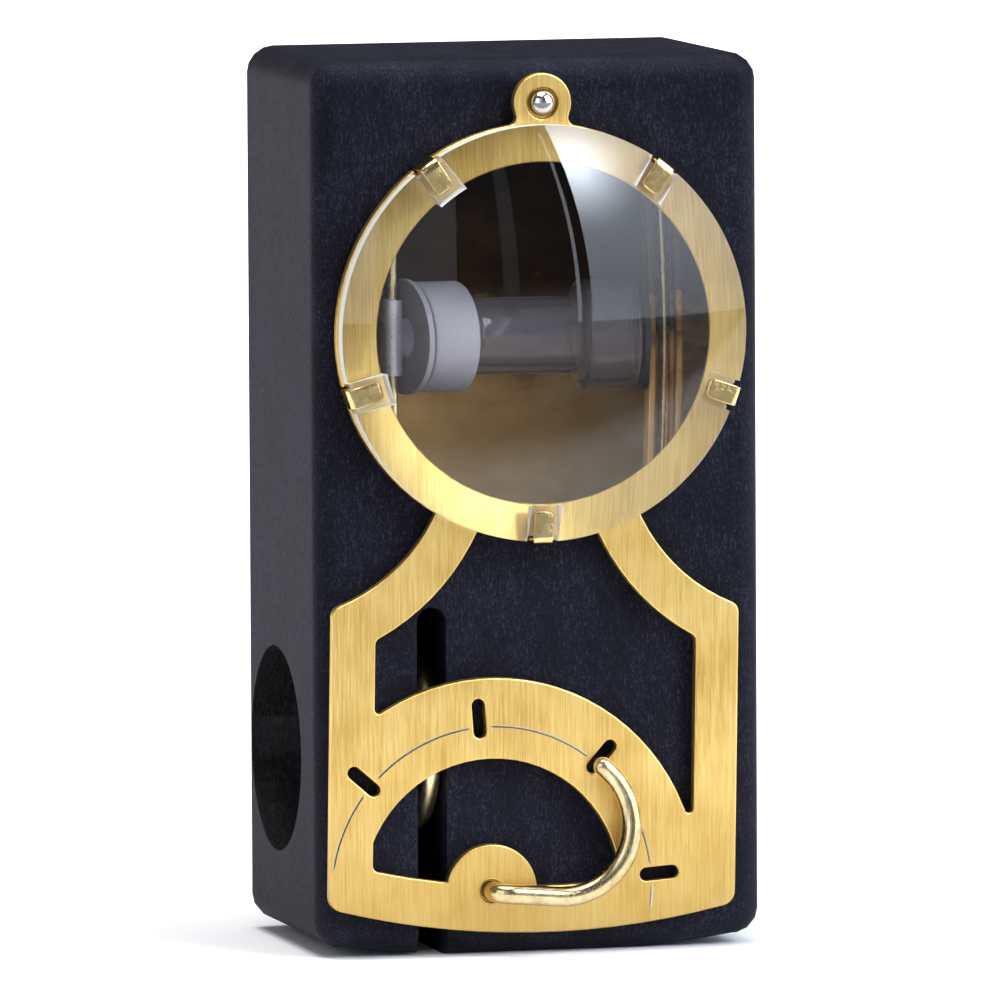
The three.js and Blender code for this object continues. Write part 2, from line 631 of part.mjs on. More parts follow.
// A glass spool: two wide ends and a narrow neck, with the same wall all along.
function vial() {
  const stations = [
    [VIAL_END_RADIUS, 0],
    [VIAL_END_RADIUS, VIAL_LEFT_END],
    [VIAL_NECK_RADIUS, VIAL_LEFT_END + VIAL_SHOULDER],
    [VIAL_NECK_RADIUS, VIAL_LEFT_END + VIAL_SHOULDER + VIAL_NECK],
    [VIAL_END_RADIUS, VIAL_LENGTH - VIAL_RIGHT_END],
    [VIAL_END_RADIUS, VIAL_LENGTH],
  ];
  const inside = stations.map(([radius, along]) => [radius - VIAL_WALL, along]).reverse();
  return turned('x', [...stations, ...inside, stations[0]], 40)
    .translate(VIAL_X, POST_Y, VIAL_HEIGHT);
}

const vialCollar = (x) =>
  tube('x', COLLAR_HOLE_RADIUS, COLLAR_RADIUS, x, x + COLLAR_THICKNESS)
    .translate(0, POST_Y, VIAL_HEIGHT);

// Brass channel, open to the front, let into the chamber's wall at both ends.
function sideChannel() {
  const bottom = LENS_HEIGHT - CHANNEL_HALF_LENGTH;
  const top = LENS_HEIGHT + CHANNEL_HALF_LENGTH;
  const right = CHANNEL_X + CHANNEL_WIDTH;
  const back = CHANNEL_FRONT + CHANNEL_DEPTH;
  return cut(
    box(CHANNEL_X, right, CHANNEL_FRONT, back, bottom, top),
    box(
      CHANNEL_X + CHANNEL_WALL, right - CHANNEL_WALL,
      CHANNEL_FRONT - 1, back - CHANNEL_WALL, bottom - 1, top + 1,
    ),
  );
}

function channelRod() {
  const y = CHANNEL_FRONT + CHANNEL_DEPTH - CHANNEL_WALL - CHANNEL_ROD_RADIUS - SEAT;
  return rodAlong('z', CHANNEL_ROD_RADIUS, -CHANNEL_HALF_LENGTH, CHANNEL_HALF_LENGTH)
    .translate(CHANNEL_X + CHANNEL_WIDTH / 2, y, LENS_HEIGHT);
}

// ---------------------------------------------------------------- assembly

part('case_block', caseWithHollows(), BLACK_WOOD);
part('pivot_pin', pivotPin(), STEEL);
part('pivot_washer', pivotWasher(), POLISHED_BRASS);
part('hoop_pin', hoopPin(HOOP_PIN_RADIUS, 0), STEEL);
part('hoop_ring', hoopRing(), POLISHED_BRASS);

const chamberBack = FRONT + CHAMBER_DEPTH - SEAT;
part(
  'chamber_back_plate',
  rodAlong('y', CHAMBER_RADIUS - SEAT, chamberBack - BACK_PLATE_THICKNESS, chamberBack)
    .translate(0, 0, LENS_HEIGHT),
  BRUSHED_BRASS,
);
part(
  'left_post',
  rodAlong('z', POST_RADIUS, -POST_HALF_LENGTH, POST_HALF_LENGTH)
    .translate(POST_X, POST_Y, LENS_HEIGHT),
  POLISHED_BRASS,
);
part(
  'post_sleeve',
  tube('z', POST_RADIUS + FIT / 2, SLEEVE_RADIUS, -SLEEVE_LENGTH / 2, SLEEVE_LENGTH / 2)
    .translate(POST_X, POST_Y, VIAL_HEIGHT),
  NICKEL,
);
part('vial', vial(), GLASS);
part('vial_collar_left', vialCollar(LEFT_COLLAR_X), GLASS);
part('vial_collar_right', vialCollar(RIGHT_COLLAR_X), DARK_COLLAR);
part('side_channel', sideChannel(), BRUSHED_BRASS);
part('channel_rod', channelRod(), POLISHED_BRASS);

// The cover hangs on the pin and swings in its own plane.
const cover = new THREE.Group();
cover.position.set(0, FRONT - PLATE_STANDOFF, PIN_HEIGHT);
cover.rotation.y = radians(COVER_SWING);
model.add(cover);
part('cover_plate', coverPlate(), BRUSHED_BRASS, cover);
part('lens', lens(), GLASS, cover);
CLAW_ANGLES.forEach((angle, i) => {
  part(`lens_claw_${i + 1}`, lensClaw(angle), POLISHED_BRASS, cover);
});

// The lever turns in the hub of the quadrant.
const lever = new THREE.Group();
lever.position.set(QUADRANT_X, 0, -QUADRANT_DROP);
lever.rotation.y = -radians(LEVER_ANGLE);
cover.add(lever);
part('index_lever', indexLever(), POLISHED_BRASS, lever);
part(
  'lever_keeper',
  tube('y', LEVER_WIRE_RADIUS + FIT / 2, KEEPER_RADIUS, -KEEPER_LIFT - KEEPER_THICKNESS, -KEEPER_LIFT),
  POLISHED_BRASS,
  lever,
);

export default model;
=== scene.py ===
"""Looks of the upright sighting instrument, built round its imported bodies.

Shapes are worked out in millimetres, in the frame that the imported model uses: X across the front,
Y from the front to the back, Z up. They become metres when a mesh is made.
"""

import json
import math

import bmesh
import bpy
import numpy as np
from mathutils import Matrix, Vector
from mathutils.geometry import delaunay_2d_cdt


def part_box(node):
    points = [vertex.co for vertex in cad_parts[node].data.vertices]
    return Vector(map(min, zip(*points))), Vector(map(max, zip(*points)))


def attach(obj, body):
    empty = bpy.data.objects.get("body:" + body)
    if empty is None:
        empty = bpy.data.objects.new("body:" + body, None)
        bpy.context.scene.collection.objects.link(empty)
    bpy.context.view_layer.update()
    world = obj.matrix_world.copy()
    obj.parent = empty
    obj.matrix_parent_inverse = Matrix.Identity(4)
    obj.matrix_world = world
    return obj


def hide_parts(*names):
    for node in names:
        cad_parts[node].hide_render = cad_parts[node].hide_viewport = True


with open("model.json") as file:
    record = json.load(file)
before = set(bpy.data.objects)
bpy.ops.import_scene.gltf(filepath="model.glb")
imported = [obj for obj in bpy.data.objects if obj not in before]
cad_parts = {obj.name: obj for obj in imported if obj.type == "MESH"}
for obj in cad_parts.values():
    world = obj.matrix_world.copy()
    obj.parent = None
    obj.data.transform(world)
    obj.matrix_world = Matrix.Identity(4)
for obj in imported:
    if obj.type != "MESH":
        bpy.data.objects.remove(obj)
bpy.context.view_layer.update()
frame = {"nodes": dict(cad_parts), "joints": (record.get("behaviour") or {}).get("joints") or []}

MM = 0.001
NODES = frame["nodes"]
JOINTS = {joint["name"]: joint for joint in frame["joints"]}

# ------------------------------------------------------------------ sizes in millimetres


def place_of(joint):
    """Where a joint's axis stands, in millimetres."""
    return np.array(JOINTS[joint]["pos_m"]) / MM


def corners(node):
    """Lowest and highest corner of a CAD node, in millimetres."""
    return [np.array(corner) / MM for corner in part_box(node)]


PIN = place_of("cover_swing")
PIVOT = place_of("lever_turn")
HOOP = place_of("hoop_turn")
CASE_LOW, CASE_HIGH = corners("case_block")
FRONT = CASE_LOW[1]

COVER_SWING = 1.0
LEVER_ANGLE = 52.0
QUADRANT = (-5.1, -94.4)
PLATE = 1.4
PLATE_EDGE = 0.17
SMALL_HOLE = 2.5
KEEPER_SEAT_RADIUS = 2.5
KEEPER_SEAT_DEPTH = 0.55
LIP_RADIUS = 1.5
LIP = 0.3
RING_DROP = 27.4

SCRIBED_RADIUS = 19.8
SCRIBED_HALF_WIDTH = 0.15
SCRIBED_DEPTH = 0.12
SCRIBED_SPANS = [(-7, 1.6), (8.4, 46.6), (53.4, 91.6), (98.4, 136.6), (143.4, 172)]

LENS_RADIUS = 24.9
LENS_FLAT = 24.2
LENS_BACK = 1.7
LENS_EDGE = 2.0
LENS_DOME = 6.5
LEDGE_TOP = LENS_BACK + 1.7
LEDGE_HALF_WIDTH = 1.9
LEDGE_START = 20.4
CLAW_ANGLES = [-90, -18, 54, 126, 198]
CLAW_LINE = 24.875
CLAW_HEIGHT = 4.075
CLAW_TIP = 21.1
CLAW_WIDTH = 2.4
CLAW_THICKNESS = 0.75
CLAW_BEND = 0.75
CLAW_TIP_ROUND = 0.9
CLAW_TIP_SHARE = 0.35
CLAW_EDGE = 0.16

WIRE = 1.2
LEVER_REACH = 20.0
LEVER_BOW_CENTRE = np.array([11.3, -1.5])
LEVER_BOW_RADIUS = 8.5
LEVER_BEND = 1.9
LEVER_RUN_HEIGHT = PLATE + 2.7
LEVER_TIP_HEIGHT = PLATE + 1.5
KEEPER_LIFT = 0.05
HOOP_MIDDLE_RADIUS = 9.6
PIN_SHANK = 1.0
PIN_POINT = 0.5

BORE_RADIUS = 12.4
BORE_DEPTH = 10.0
BORE_CENTRE = (2.9, 23.4)
CHAMBER_RADIUS = 21.0
CHAMBER_DEPTH = 26.0

VIAL_END = 5.4
VIAL_NECK = 3.75
VIAL_WALL = 1.0
VIAL_LEFT = 4.6
VIAL_SLOPE = 0.9
VIAL_NECK_LENGTH = 10.2

# ------------------------------------------------------------------ places


def spun(points, degrees):
    """Points turned about Y, counter-clockwise as seen from the front."""
    c, s = math.cos(math.radians(degrees)), math.sin(math.radians(degrees))
    x, y, z = np.moveaxis(np.asarray(points, float), -1, 0)
    return np.stack([x * c - z * s, y, x * s + z * c], -1)


def on_cover(points):
    """From the cover's frame, with the pin at its origin, to the model's."""
    return spun(points, -COVER_SWING) + PIN


def on_lens(points):
    """From a frame with the lens's middle at its origin to the model's."""
    return on_cover(points + np.array([0, 0, -RING_DROP]))


def on_lever(points):
    """From the lever's frame, with its pivot at the origin and its tip along X, to the model's."""
    return on_cover(spun(points, LEVER_ANGLE) + np.array([QUADRANT[0], 0, QUADRANT[1]]))


# ------------------------------------------------------------------ making meshes


def arc(start, end, count):
    """Angles from start to end in degrees, as radians."""
    return np.radians(np.linspace(start, end, count))


def soften(points, reach, closed=False, steps=5):
    """A line with each corner replaced by a quadratic curve.

    The curve leaves the line `reach` before the corner, is drawn towards it and comes back to the
    line as far after it: (1-t)^2 before + 2t(1-t) corner + t^2 after.
    """
    line = np.asarray(points, float)
    t = np.linspace(0, 1, steps)[None, :, None]

    def reached(neighbour):
        """Where the curve leaves the line on its way to the neighbouring corner."""
        way = neighbour - line
        length = np.linalg.norm(way, axis=1, keepdims=True)
        return (line + way / length * np.minimum(reach, 0.45 * length))[:, None]

    before, after = reached(np.roll(line, 1, 0)), reached(np.roll(line, -1, 0))
    curve = ((1 - t) ** 2 * before + 2 * t * (1 - t) * line[:, None] + t**2 * after).reshape(-1, 2)
    if closed:
        return curve
    return np.concatenate([line[:1], curve[steps:-steps], line[-1:]])


def placed(name, data):
    """A new object with this mesh, lamp or camera, put into the scene."""
    made = bpy.data.objects.new(name, data)
    bpy.context.scene.collection.objects.link(made)
    return made


def face_values(mesh, kind):
    """One row for each face: its centre in millimetres ("center") or its way out ("normal")."""
    values = np.empty(len(mesh.polygons) * 3)
    mesh.polygons.foreach_get(kind, values)
    return values.reshape(-1, 3) / (MM if kind == "center" else 1)


def new_piece(name, points, faces, sharp_above=38):
    """A mesh from points in millimetres, welded, with its faces turned outwards."""
    mesh = bpy.data.meshes.new(name)
    mesh.from_pydata((np.asarray(points).reshape(-1, 3) * MM).tolist(), [], faces)
    work = bmesh.new()
    work.from_mesh(mesh)
    bmesh.ops.remove_doubles(work, verts=work.verts, dist=0.0005 * MM)
    bmesh.ops.recalc_face_normals(work, faces=work.faces)
    work.to_mesh(mesh)
    work.free()
    mesh.polygons.foreach_set("use_smooth", np.ones(len(mesh.polygons), bool))
    mesh.set_sharp_from_angle(angle=math.radians(sharp_above))
    return placed(name, mesh)


def skin(rows, cols, around=True, along=False):
    """Four-sided faces between a grid's points, closed round its rows and along its columns."""
    r = np.arange(rows if along else rows - 1)[:, None]
    c = np.arange(cols if around else cols - 1)[None, :]
    r2, c2 = (r + 1) % rows, (c + 1) % cols
    ring = [r * cols + c, r2 * cols + c, r2 * cols + c2, r * cols + c2]
    return np.stack(np.broadcast_arrays(*ring), -1).reshape(-1, 4)


def surface(name, grid, along=False, sharp_above=38):
    """A skin over a grid of points whose rows are closed rings."""
    return new_piece(name, grid, skin(*grid.shape[:2], along=along).tolist(), sharp_above)


def turned(name, profile, axis, centre, closed=False, sides=96):
    """A profile of (radius, distance along the axis) turned once round the axis."""
    radius, along = np.asarray(profile, float).T[:, :, None]
    angle = np.linspace(0, 2 * math.pi, sides, endpoint=False)[None]
    a, b, c = radius * np.cos(angle), radius * np.sin(angle), along + 0 * angle
    grid = np.stack({"x": (c, a, b), "y": (a, c, b), "z": (a, b, c)}[axis], -1)
    return surface(name, grid + np.asarray(centre), closed)


def unit(ways):
    """Each way divided by its length."""
    return ways / np.linalg.norm(ways, axis=-1, keepdims=True)


def swept(path, section, sideways, scale):
    """Grid of a section carried along a path.

    A point (u, v) of the section lies at path + u * side + v * up. Side is `sideways` made square
    to the path, and up is square to both. Scale shrinks u and v at each station of the path.
    """
    tangent = unit(np.gradient(path, axis=0))
    side = unit(sideways - (tangent @ sideways)[:, None] * tangent)
    up = np.cross(tangent, side)
    u, v = section[None, :, :1] * scale[:, None, :1], section[None, :, 1:] * scale[:, None, 1:]
    return path[:, None] + u * side[:, None] + v * up[:, None]


def stationed(path, ends, count):
    """A path laid out again by its length, with stations that crowd towards both ends."""
    gaps = np.linalg.norm(np.diff(path, axis=0), axis=1)
    length = np.concatenate([[0], np.cumsum(gaps)])
    dome = ends * (1 - np.cos(arc(0, 90, 9)))
    place = np.concatenate([
        dome, np.linspace(ends, length[-1] - ends, count)[1:-1], length[-1] - dome[::-1],
    ])
    laid = np.stack([np.interp(place, length, path[:, i]) for i in range(3)], -1)
    return laid, np.minimum(place, length[-1] - place)


def domed(distance, radius):
    """How much of a section is left this far from a domed end: sqrt(1 - (1 - d / r)^2)."""
    share = 1 - np.clip(distance / radius, 0, 1)
    return np.sqrt(np.clip(1 - share**2, 0, 1))


def circle_section(radius, sides=28):
    """Points radius * (cos a, sin a) round a circle."""
    angle = np.linspace(0, 2 * math.pi, sides, endpoint=False)
    return radius * np.stack([np.cos(angle), np.sin(angle)], -1)


def merged_copy(node, name):
    """A new object with a CAD node's mesh, its loose triangles welded and flat areas made whole."""
    work = bmesh.new()
    work.from_mesh(NODES[node].data)
    bmesh.ops.remove_doubles(work, verts=work.verts, dist=0.002 * MM)
    bmesh.ops.dissolve_limit(
        work, angle_limit=math.radians(0.4), verts=work.verts, edges=work.edges,
    )
    mesh = bpy.data.meshes.new(name)
    work.to_mesh(mesh)
    work.free()
    return placed(name, mesh)


def keep(piece, body, node, slot, *materials):
    """Puts a finished piece on its body in place of a CAD node."""
    for material in materials:
        piece.data.materials.append(material)
    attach(piece, body)
    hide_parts(node)
    return piece


# ------------------------------------------------------------------ finishes


def add(tree, kind, inputs, **settings):
    """A shader node with its settings, and its inputs linked or set to a value."""
    made = tree.nodes.new("ShaderNode" + kind)
    for key, value in settings.items():
        setattr(made, key, value)
    for key, value in inputs.items():
        if isinstance(value, bpy.types.NodeSocket):
            tree.links.new(value, made.inputs[key])
        else:
            made.inputs[key].default_value = value
    return made


def finish(name, **sockets):
    """A material with one Principled shader, and the shader and tree to add detail with."""
    material = bpy.data.materials.new(name)
    material.use_nodes = True
    tree = material.node_tree
    shader = tree.nodes["Principled BSDF"]
    for key, value in sockets.items():
        shader.inputs[key.replace("_", " ")].default_value = value
    return material, tree, shader


def grain(tree, size, detail=3.0, roughness=0.55, distortion=0.0):
    """Noise whose grains measure `size` millimetres along X, Y and Z."""
    place = add(tree, "TexCoord", {}).outputs["Object"]
    scaled = add(tree, "Mapping", {"Vector": place, "Scale": [1 / (MM * s) for s in size]})
    return add(tree, "TexNoise", {
        "Vector": scaled.outputs["Vector"], "Scale": 1.0, "Detail": detail,
        "Roughness": roughness, "Distortion": distortion,
    }).outputs["Fac"]


def ramp(tree, factor, *stops):
    """A colour ramp over stops of (place, colour)."""
    made = add(tree, "ValToRGB", {"Fac": factor})
    elements = made.color_ramp.elements
    while len(elements) < len(stops):
        elements.new(0.5)
    for element, (place, colour) in zip(elements, stops):
        element.position = place
        element.color = (*colour, 1)
    return made.outputs["Color"]


def spread(tree, factor, low, high, start=0.3, end=0.7):
    """A number that goes from low to high as the factor goes from start to end."""
    return add(tree, "MapRange", {
        "Value": factor, "From Min": start, "From Max": end, "To Min": low, "To Max": high,
    }).outputs["Result"]


def position(tree, axis):
    """How far along X, Y or Z a point of the surface lies, in metres."""
    place = add(tree, "TexCoord", {}).outputs["Object"]
    return add(tree, "SeparateXYZ", {"Vector": place}).outputs[axis]


def product(tree, one, other):
    """Two numbers multiplied."""
    return add(tree, "Math", {0: one, 1: other}, operation="MULTIPLY").outputs[0]


def total(tree, first, *others):
    """Numbers added up."""
    for other in others:
        first = add(tree, "Math", {0: first, 1: other}, operation="ADD").outputs[0]
    return first


def bump(tree, shader, height, depth, strength=1.0, below=None):
    """Relief `depth` millimetres deep."""
    inputs = {"Height": height, "Distance": depth * MM, "Strength": strength}
    if below is not None:
        inputs["Normal"] = below
    made = add(tree, "Bump", inputs).outputs["Normal"]
    tree.links.new(made, shader.inputs["Normal"])
    return made


def black_wood():
    """Satin black stain over fine upright fibres, with a scatter of paler specks."""
    material, tree, shader = finish(
        "black_wood", Specular_IOR_Level=0.13, Specular_Tint=(0.82, 0.82, 1.0, 1),
    )
    fibres = grain(tree, (0.16, 0.16, 0.9), detail=4)
    specks = grain(tree, (0.28, 0.28, 0.4), detail=2, roughness=0.7)
    cloud = grain(tree, (5, 5, 9), detail=2)
    worn = spread(tree, cloud, -0.05, 0.05)
    tone = total(tree, product(tree, fibres, specks), worn)
    colour = ramp(
        tree, tone, (0.12, (0.0020, 0.0020, 0.0034)), (0.26, (0.0050, 0.0051, 0.0090)),
        (0.42, (0.022, 0.0225, 0.036)),
    )
    tree.links.new(colour, shader.inputs["Base Color"])
    tree.links.new(spread(tree, fibres, 0.52, 0.74), shader.inputs["Roughness"])
    coarse = bump(tree, shader, specks, 0.05, 0.55)
    bump(tree, shader, fibres, 0.035, 0.6, coarse)
    return material


def bored_wood():
    """Bare end grain of the side hole, black and torn, with a few points that catch the light."""
    material, tree, shader = finish("bored_wood", Roughness=0.45, Specular_IOR_Level=0.16)
    torn = grain(tree, (0.5, 0.5, 1.3), detail=5, roughness=0.7)
    colour = ramp(tree, torn, (0.45, (0.0012, 0.001, 0.0014)), (0.72, (0.020, 0.018, 0.022)))
    tree.links.new(colour, shader.inputs["Base Color"])
    bump(tree, shader, torn, 0.35, 0.9)
    return material


def chamber_wood():
    """Brown wall of the lens chamber, with rings in its grain."""
    material, tree, shader = finish("chamber_wood", Roughness=0.5, Specular_IOR_Level=0.3)
    rings = grain(tree, (1.2, 6, 1.2), detail=4)
    colour = ramp(tree, rings, (0.3, (0.010, 0.006, 0.0035)), (0.7, (0.028, 0.016, 0.008)))
    tree.links.new(colour, shader.inputs["Base Color"])
    bump(tree, shader, rings, 0.06, 0.5)
    return material


def brushed_brass():
    """Sheet brass brushed upright: streaks in its colour, gloss and relief, and a painted dark
    reflection of the table low down.
    """
    material, tree, shader = finish("brushed_brass", Metallic=1.0)
    fine = grain(tree, (0.07, 0.4, 3.0), detail=4)
    broad = grain(tree, (0.22, 1.5, 7), detail=3, roughness=0.6)
    cloud = grain(tree, (7, 7, 9), detail=2)
    grains = total(tree, fine, broad, cloud)
    mean = add(tree, "Math", {0: grains, 1: 3.0}, operation="DIVIDE").outputs[0]
    shades = [(0.68, 0.425, 0.112), (0.86, 0.575, 0.172), (0.97, 0.715, 0.270)]
    colour = ramp(tree, mean, *zip((0.38, 0.5, 0.63), shades))
    # Painted reflection: a brown mix, strongest at the foot and gone by 22 mm up, stands in for the
    # dark table that the brass reflects there.
    share = spread(tree, position(tree, "Z"), 0.66, 0.0, 2 * MM, 22 * MM)
    painted_dark_foot = add(tree, "MixRGB", {
        "Fac": share, "Color1": colour, "Color2": (0.30, 0.19, 0.055, 1),
    })
    tree.links.new(painted_dark_foot.outputs["Color"], shader.inputs["Base Color"])
    tree.links.new(spread(tree, fine, 0.34, 0.46), shader.inputs["Roughness"])
    deep = bump(tree, shader, broad, 0.012, 0.5)
    bump(tree, shader, fine, 0.006, 0.6, deep)
    return material


def scribed_line(name, low, high, metallic, gloss):
    """One side of the scribed arc's groove in a colour of its own: the shaded side gets painted
    shade, the lit side a painted highlight.
    """
    material, tree, shader = finish(name, Metallic=metallic, Roughness=gloss)
    crumbs = grain(tree, (0.15, 0.15, 0.3))
    tree.links.new(ramp(tree, crumbs, (0.35, low), (0.7, high)), shader.inputs["Base Color"])
    return material


def polished_brass(name, lumps, gloss, low=(0.66, 0.46, 0.175), high=(0.86, 0.68, 0.34)):
    """Drawn or bent brass, polished by hand, so that reflections waver a little."""
    material, tree, shader = finish(name, Metallic=1.0)
    waves = grain(tree, (1.1, 1.1, 1.1), detail=2)
    rub = grain(tree, (0.12, 0.12, 1.6), detail=3)
    colour = ramp(tree, waves, (0.3, low), (0.7, high))
    tree.links.new(colour, shader.inputs["Base Color"])
    tree.links.new(spread(tree, rub, gloss * 0.7, gloss * 1.5), shader.inputs["Roughness"])
    bump(tree, shader, waves, lumps, 0.7)
    return material


def bright_metal(name, colour, gloss, metallic=1.0):
    """Turned and polished steel or nickel, with faint turning marks."""
    material, tree, shader = finish(name, Metallic=metallic)
    marks = grain(tree, (0.3, 0.3, 0.3), detail=4)
    pale = [min(1.0, c * 1.12) for c in colour]
    tree.links.new(ramp(tree, marks, (0.3, colour), (0.7, pale)), shader.inputs["Base Color"])
    tree.links.new(spread(tree, marks, gloss * 0.7, gloss * 1.4), shader.inputs["Roughness"])
    bump(tree, shader, marks, 0.004, 0.5)
    return material


def lets_light_in(material, tree, shader, tint):
    """Lets lamps shine through the glass, which otherwise shades what is behind it."""
    path = add(tree, "LightPath", {})
    clear = add(tree, "BsdfTransparent", {"Color": (*tint, 1)})
    mix = add(tree, "MixShader", {
        "Fac": path.outputs["Is Shadow Ray"], 1: shader.outputs[0], 2: clear.outputs[0],
    })
    tree.links.new(mix.outputs[0], tree.nodes["Material Output"].inputs["Surface"])
    return material


def lens_glass():
    """Polished crown glass with the faintest smears."""
    material, tree, shader = finish(
        "lens_glass", Transmission_Weight=1.0, IOR=1.52, Base_Color=(0.985, 0.992, 0.99, 1),
    )
    smears = grain(tree, (6, 6, 11), detail=4, roughness=0.6)
    tree.links.new(spread(tree, smears, 0.0, 0.035, 0.45, 0.75), shader.inputs["Roughness"])
    return lets_light_in(material, tree, shader, (0.94, 0.95, 0.95))


def coated_glass():
    """Back of the lens, which lets light through and reflects none."""
    material, tree, shader = finish("coated_glass")
    bend = add(tree, "BsdfRefraction", {"Color": (0.99, 0.99, 0.985, 1), "IOR": 1.52})
    haze = grain(tree, (8, 8, 8), detail=2)
    tree.links.new(spread(tree, haze, 0.0, 0.02, 0.45, 0.8), bend.inputs["Roughness"])
    tree.nodes.remove(shader)
    return lets_light_in(material, tree, bend, (0.95, 0.95, 0.95))


def ground_glass(name="ground_glass", tint=(0.93, 0.92, 0.88), through=0.25, gloss=0.55):
    """Glass ground with grit: whitish, and only partly clear."""
    material, tree, shader = finish(name, Transmission_Weight=through, IOR=1.5, Roughness=gloss)
    grit = grain(tree, (0.14, 0.14, 0.14), detail=3)
    dark = [0.8 * c for c in tint]
    tree.links.new(ramp(tree, grit, (0.3, dark), (0.7, tint)), shader.inputs["Base Color"])
    bump(tree, shader, grit, 0.03, 0.6)
    return lets_light_in(material, tree, shader, (0.5, 0.5, 0.52))


def vial_glass():
    """Thin clear tube, a little grey."""
    material, tree, shader = finish(
        "vial_glass", Transmission_Weight=0.95, IOR=1.33, Base_Color=(0.66, 0.62, 0.66, 1),
    )
    haze = grain(tree, (2, 2, 2), detail=3)
    tree.links.new(spread(tree, haze, 0.02, 0.12), shader.inputs["Roughness"])
    return lets_light_in(material, tree, shader, (0.8, 0.8, 0.82))


def matte_collar():
    """Dark, slightly dusty collar."""
    material, tree, shader = finish("matte_collar", Specular_IOR_Level=0.3)
    dust = grain(tree, (0.5, 0.5, 0.5))
    colour = ramp(tree, dust, (0.35, (0.012, 0.011, 0.013)), (0.75, (0.035, 0.032, 0.036)))
    tree.links.new(colour, shader.inputs["Base Color"])
    tree.links.new(spread(tree, dust, 0.45, 0.65), shader.inputs["Roughness"])
    bump(tree, shader, dust, 0.02, 0.4)
    return material


def brass_painted_dark_above(name, low, high):
    """Brass sheet painted golden at its foot and almost black above its middle: painted shade, as
    from the chamber's roof above it, with blotches that vary its tone.
    """
    material, tree, shader = finish(name, Metallic=0.55, Specular_IOR_Level=0.3)
    # Painted shade: the colour darkens with height from low to high.
    share = spread(tree, position(tree, "Z"), 0.0, 1.0, low * MM, high * MM)
    blotch = grain(tree, (5, 5, 3), detail=4, roughness=0.6)
    tone = total(tree, share, spread(tree, blotch, -0.10, 0.10))
    colour = ramp(
        tree, tone, (0.05, (0.92, 0.66, 0.28)), (0.38, (0.66, 0.36, 0.075)),
        (0.50, (0.085, 0.044, 0.018)), (0.78, (0.022, 0.013, 0.009)),
    )
    tree.links.new(colour, shader.inputs["Base Color"])
    tree.links.new(spread(tree, blotch, 0.34, 0.5), shader.inputs["Roughness"])
    bump(tree, shader, grain(tree, (0.2, 0.2, 3)), 0.01, 0.5)
    return material


WOOD = black_wood()
BORED = bored_wood()
CHAMBER = chamber_wood()
BRUSHED = brushed_brass()
# Two copies of the scribed groove's finish: painted shade for its inner side, a painted highlight
# for its outer side.
GROOVE_SHADE = scribed_line("scribed_painted_shade", (0.040, 0.034, 0.028), (0.13, 0.105, 0.075), 0.4, 0.55)
GROOVE_HIGHLIGHT = scribed_line("scribed_painted_highlight", (0.70, 0.62, 0.48), (0.97, 0.93, 0.84), 0.75, 0.4)
WIRE_BRASS = polished_brass("wire_brass", 0.010, 0.20, (0.50, 0.385, 0.185), (0.72, 0.60, 0.36))
CLAW_BRASS = polished_brass("claw_brass", 0.12, 0.16)
# Paler and rougher brass for the hoop and the post, which stand in shade; its paler colour is
# painted brightness.
PALE_BRIGHTENED_BRASS = polished_brass("brightened_brass", 0.006, 0.34, (0.72, 0.58, 0.30), (0.92, 0.80, 0.52))
STEEL = bright_metal("pin_steel", (0.60, 0.58, 0.56), 0.14)
NICKEL = bright_metal("sleeve_nickel", (0.86, 0.85, 0.86), 0.36, 0.7)
LENS_GLASS = lens_glass()
GROUND = ground_glass()
LEDGE_GLASS = ground_glass("ledge_glass", (0.95, 0.95, 0.93), 0.88, 0.3)
COATED = coated_glass()
VIAL_GLASS = vial_glass()
FROSTED = ground_glass("frosted_glass", (0.56, 0.53, 0.57), 0.35)
COLLAR = matte_collar()

# ------------------------------------------------------------------ case


def case_shell():
    """The block, with its rounded edges shaded smooth and its hollows in woods of their own."""
    shell = merged_copy("case_block", "case_shell")
    mesh = shell.data
    mesh.polygons.foreach_set("use_smooth", np.ones(len(mesh.polygons), bool))
    mesh.set_sharp_from_angle(angle=math.radians(35))
    x, y, z = face_values(mesh, "center").T
    lens_height = PIN[2] - RING_DROP
    in_bore = np.hypot(y - BORE_CENTRE[0], z - BORE_CENTRE[1]) < BORE_RADIUS + 0.1
    in_bore &= (x < CASE_LOW[0] + BORE_DEPTH + 0.1) & (x > CASE_LOW[0] + 0.05)
    in_chamber = np.hypot(x, z - lens_height) < CHAMBER_RADIUS + 0.1
    in_chamber &= (y > FRONT + 0.05) & (y < FRONT + CHAMBER_DEPTH + 0.1)
    index = np.where(in_bore, 1, np.where(in_chamber, 2, 0)).astype(np.int32)
    mesh.materials.clear()
    keep(shell, "case", "case_block", "black_wood", WOOD, BORED, CHAMBER)
    mesh.polygons.foreach_set("material_index", index)
    weighted = shell.modifiers.new("even_shading", "WEIGHTED_NORMAL")
    weighted.keep_sharp = True
    return shell


# ------------------------------------------------------------------ cover plate


def front_loops(node, depth):
    """Outlines of a CAD node's flat front at the depth y, each with the metal on its left."""
    work = bmesh.new()
    work.from_mesh(NODES[node].data)
    bmesh.ops.remove_doubles(work, verts=work.verts, dist=0.002 * MM)
    flat = [f for f in work.faces if all(abs(v.co.y / MM - depth) < 0.003 for v in f.verts)]
    front = set(flat)
    follow = {
        loop.vert: loop.link_loop_next.vert
        for face in flat for loop in face.loops
        if sum(other in front for other in loop.edge.link_faces) == 1
    }
    loops = []
    while follow:
        start, here = follow.popitem()
        chain = [start]
        while here is not start:
            chain.append(here)
            here = follow.pop(here)
        loops.append(np.array([(v.co.x / MM, v.co.z / MM) for v in chain]))
    work.free()
    return loops


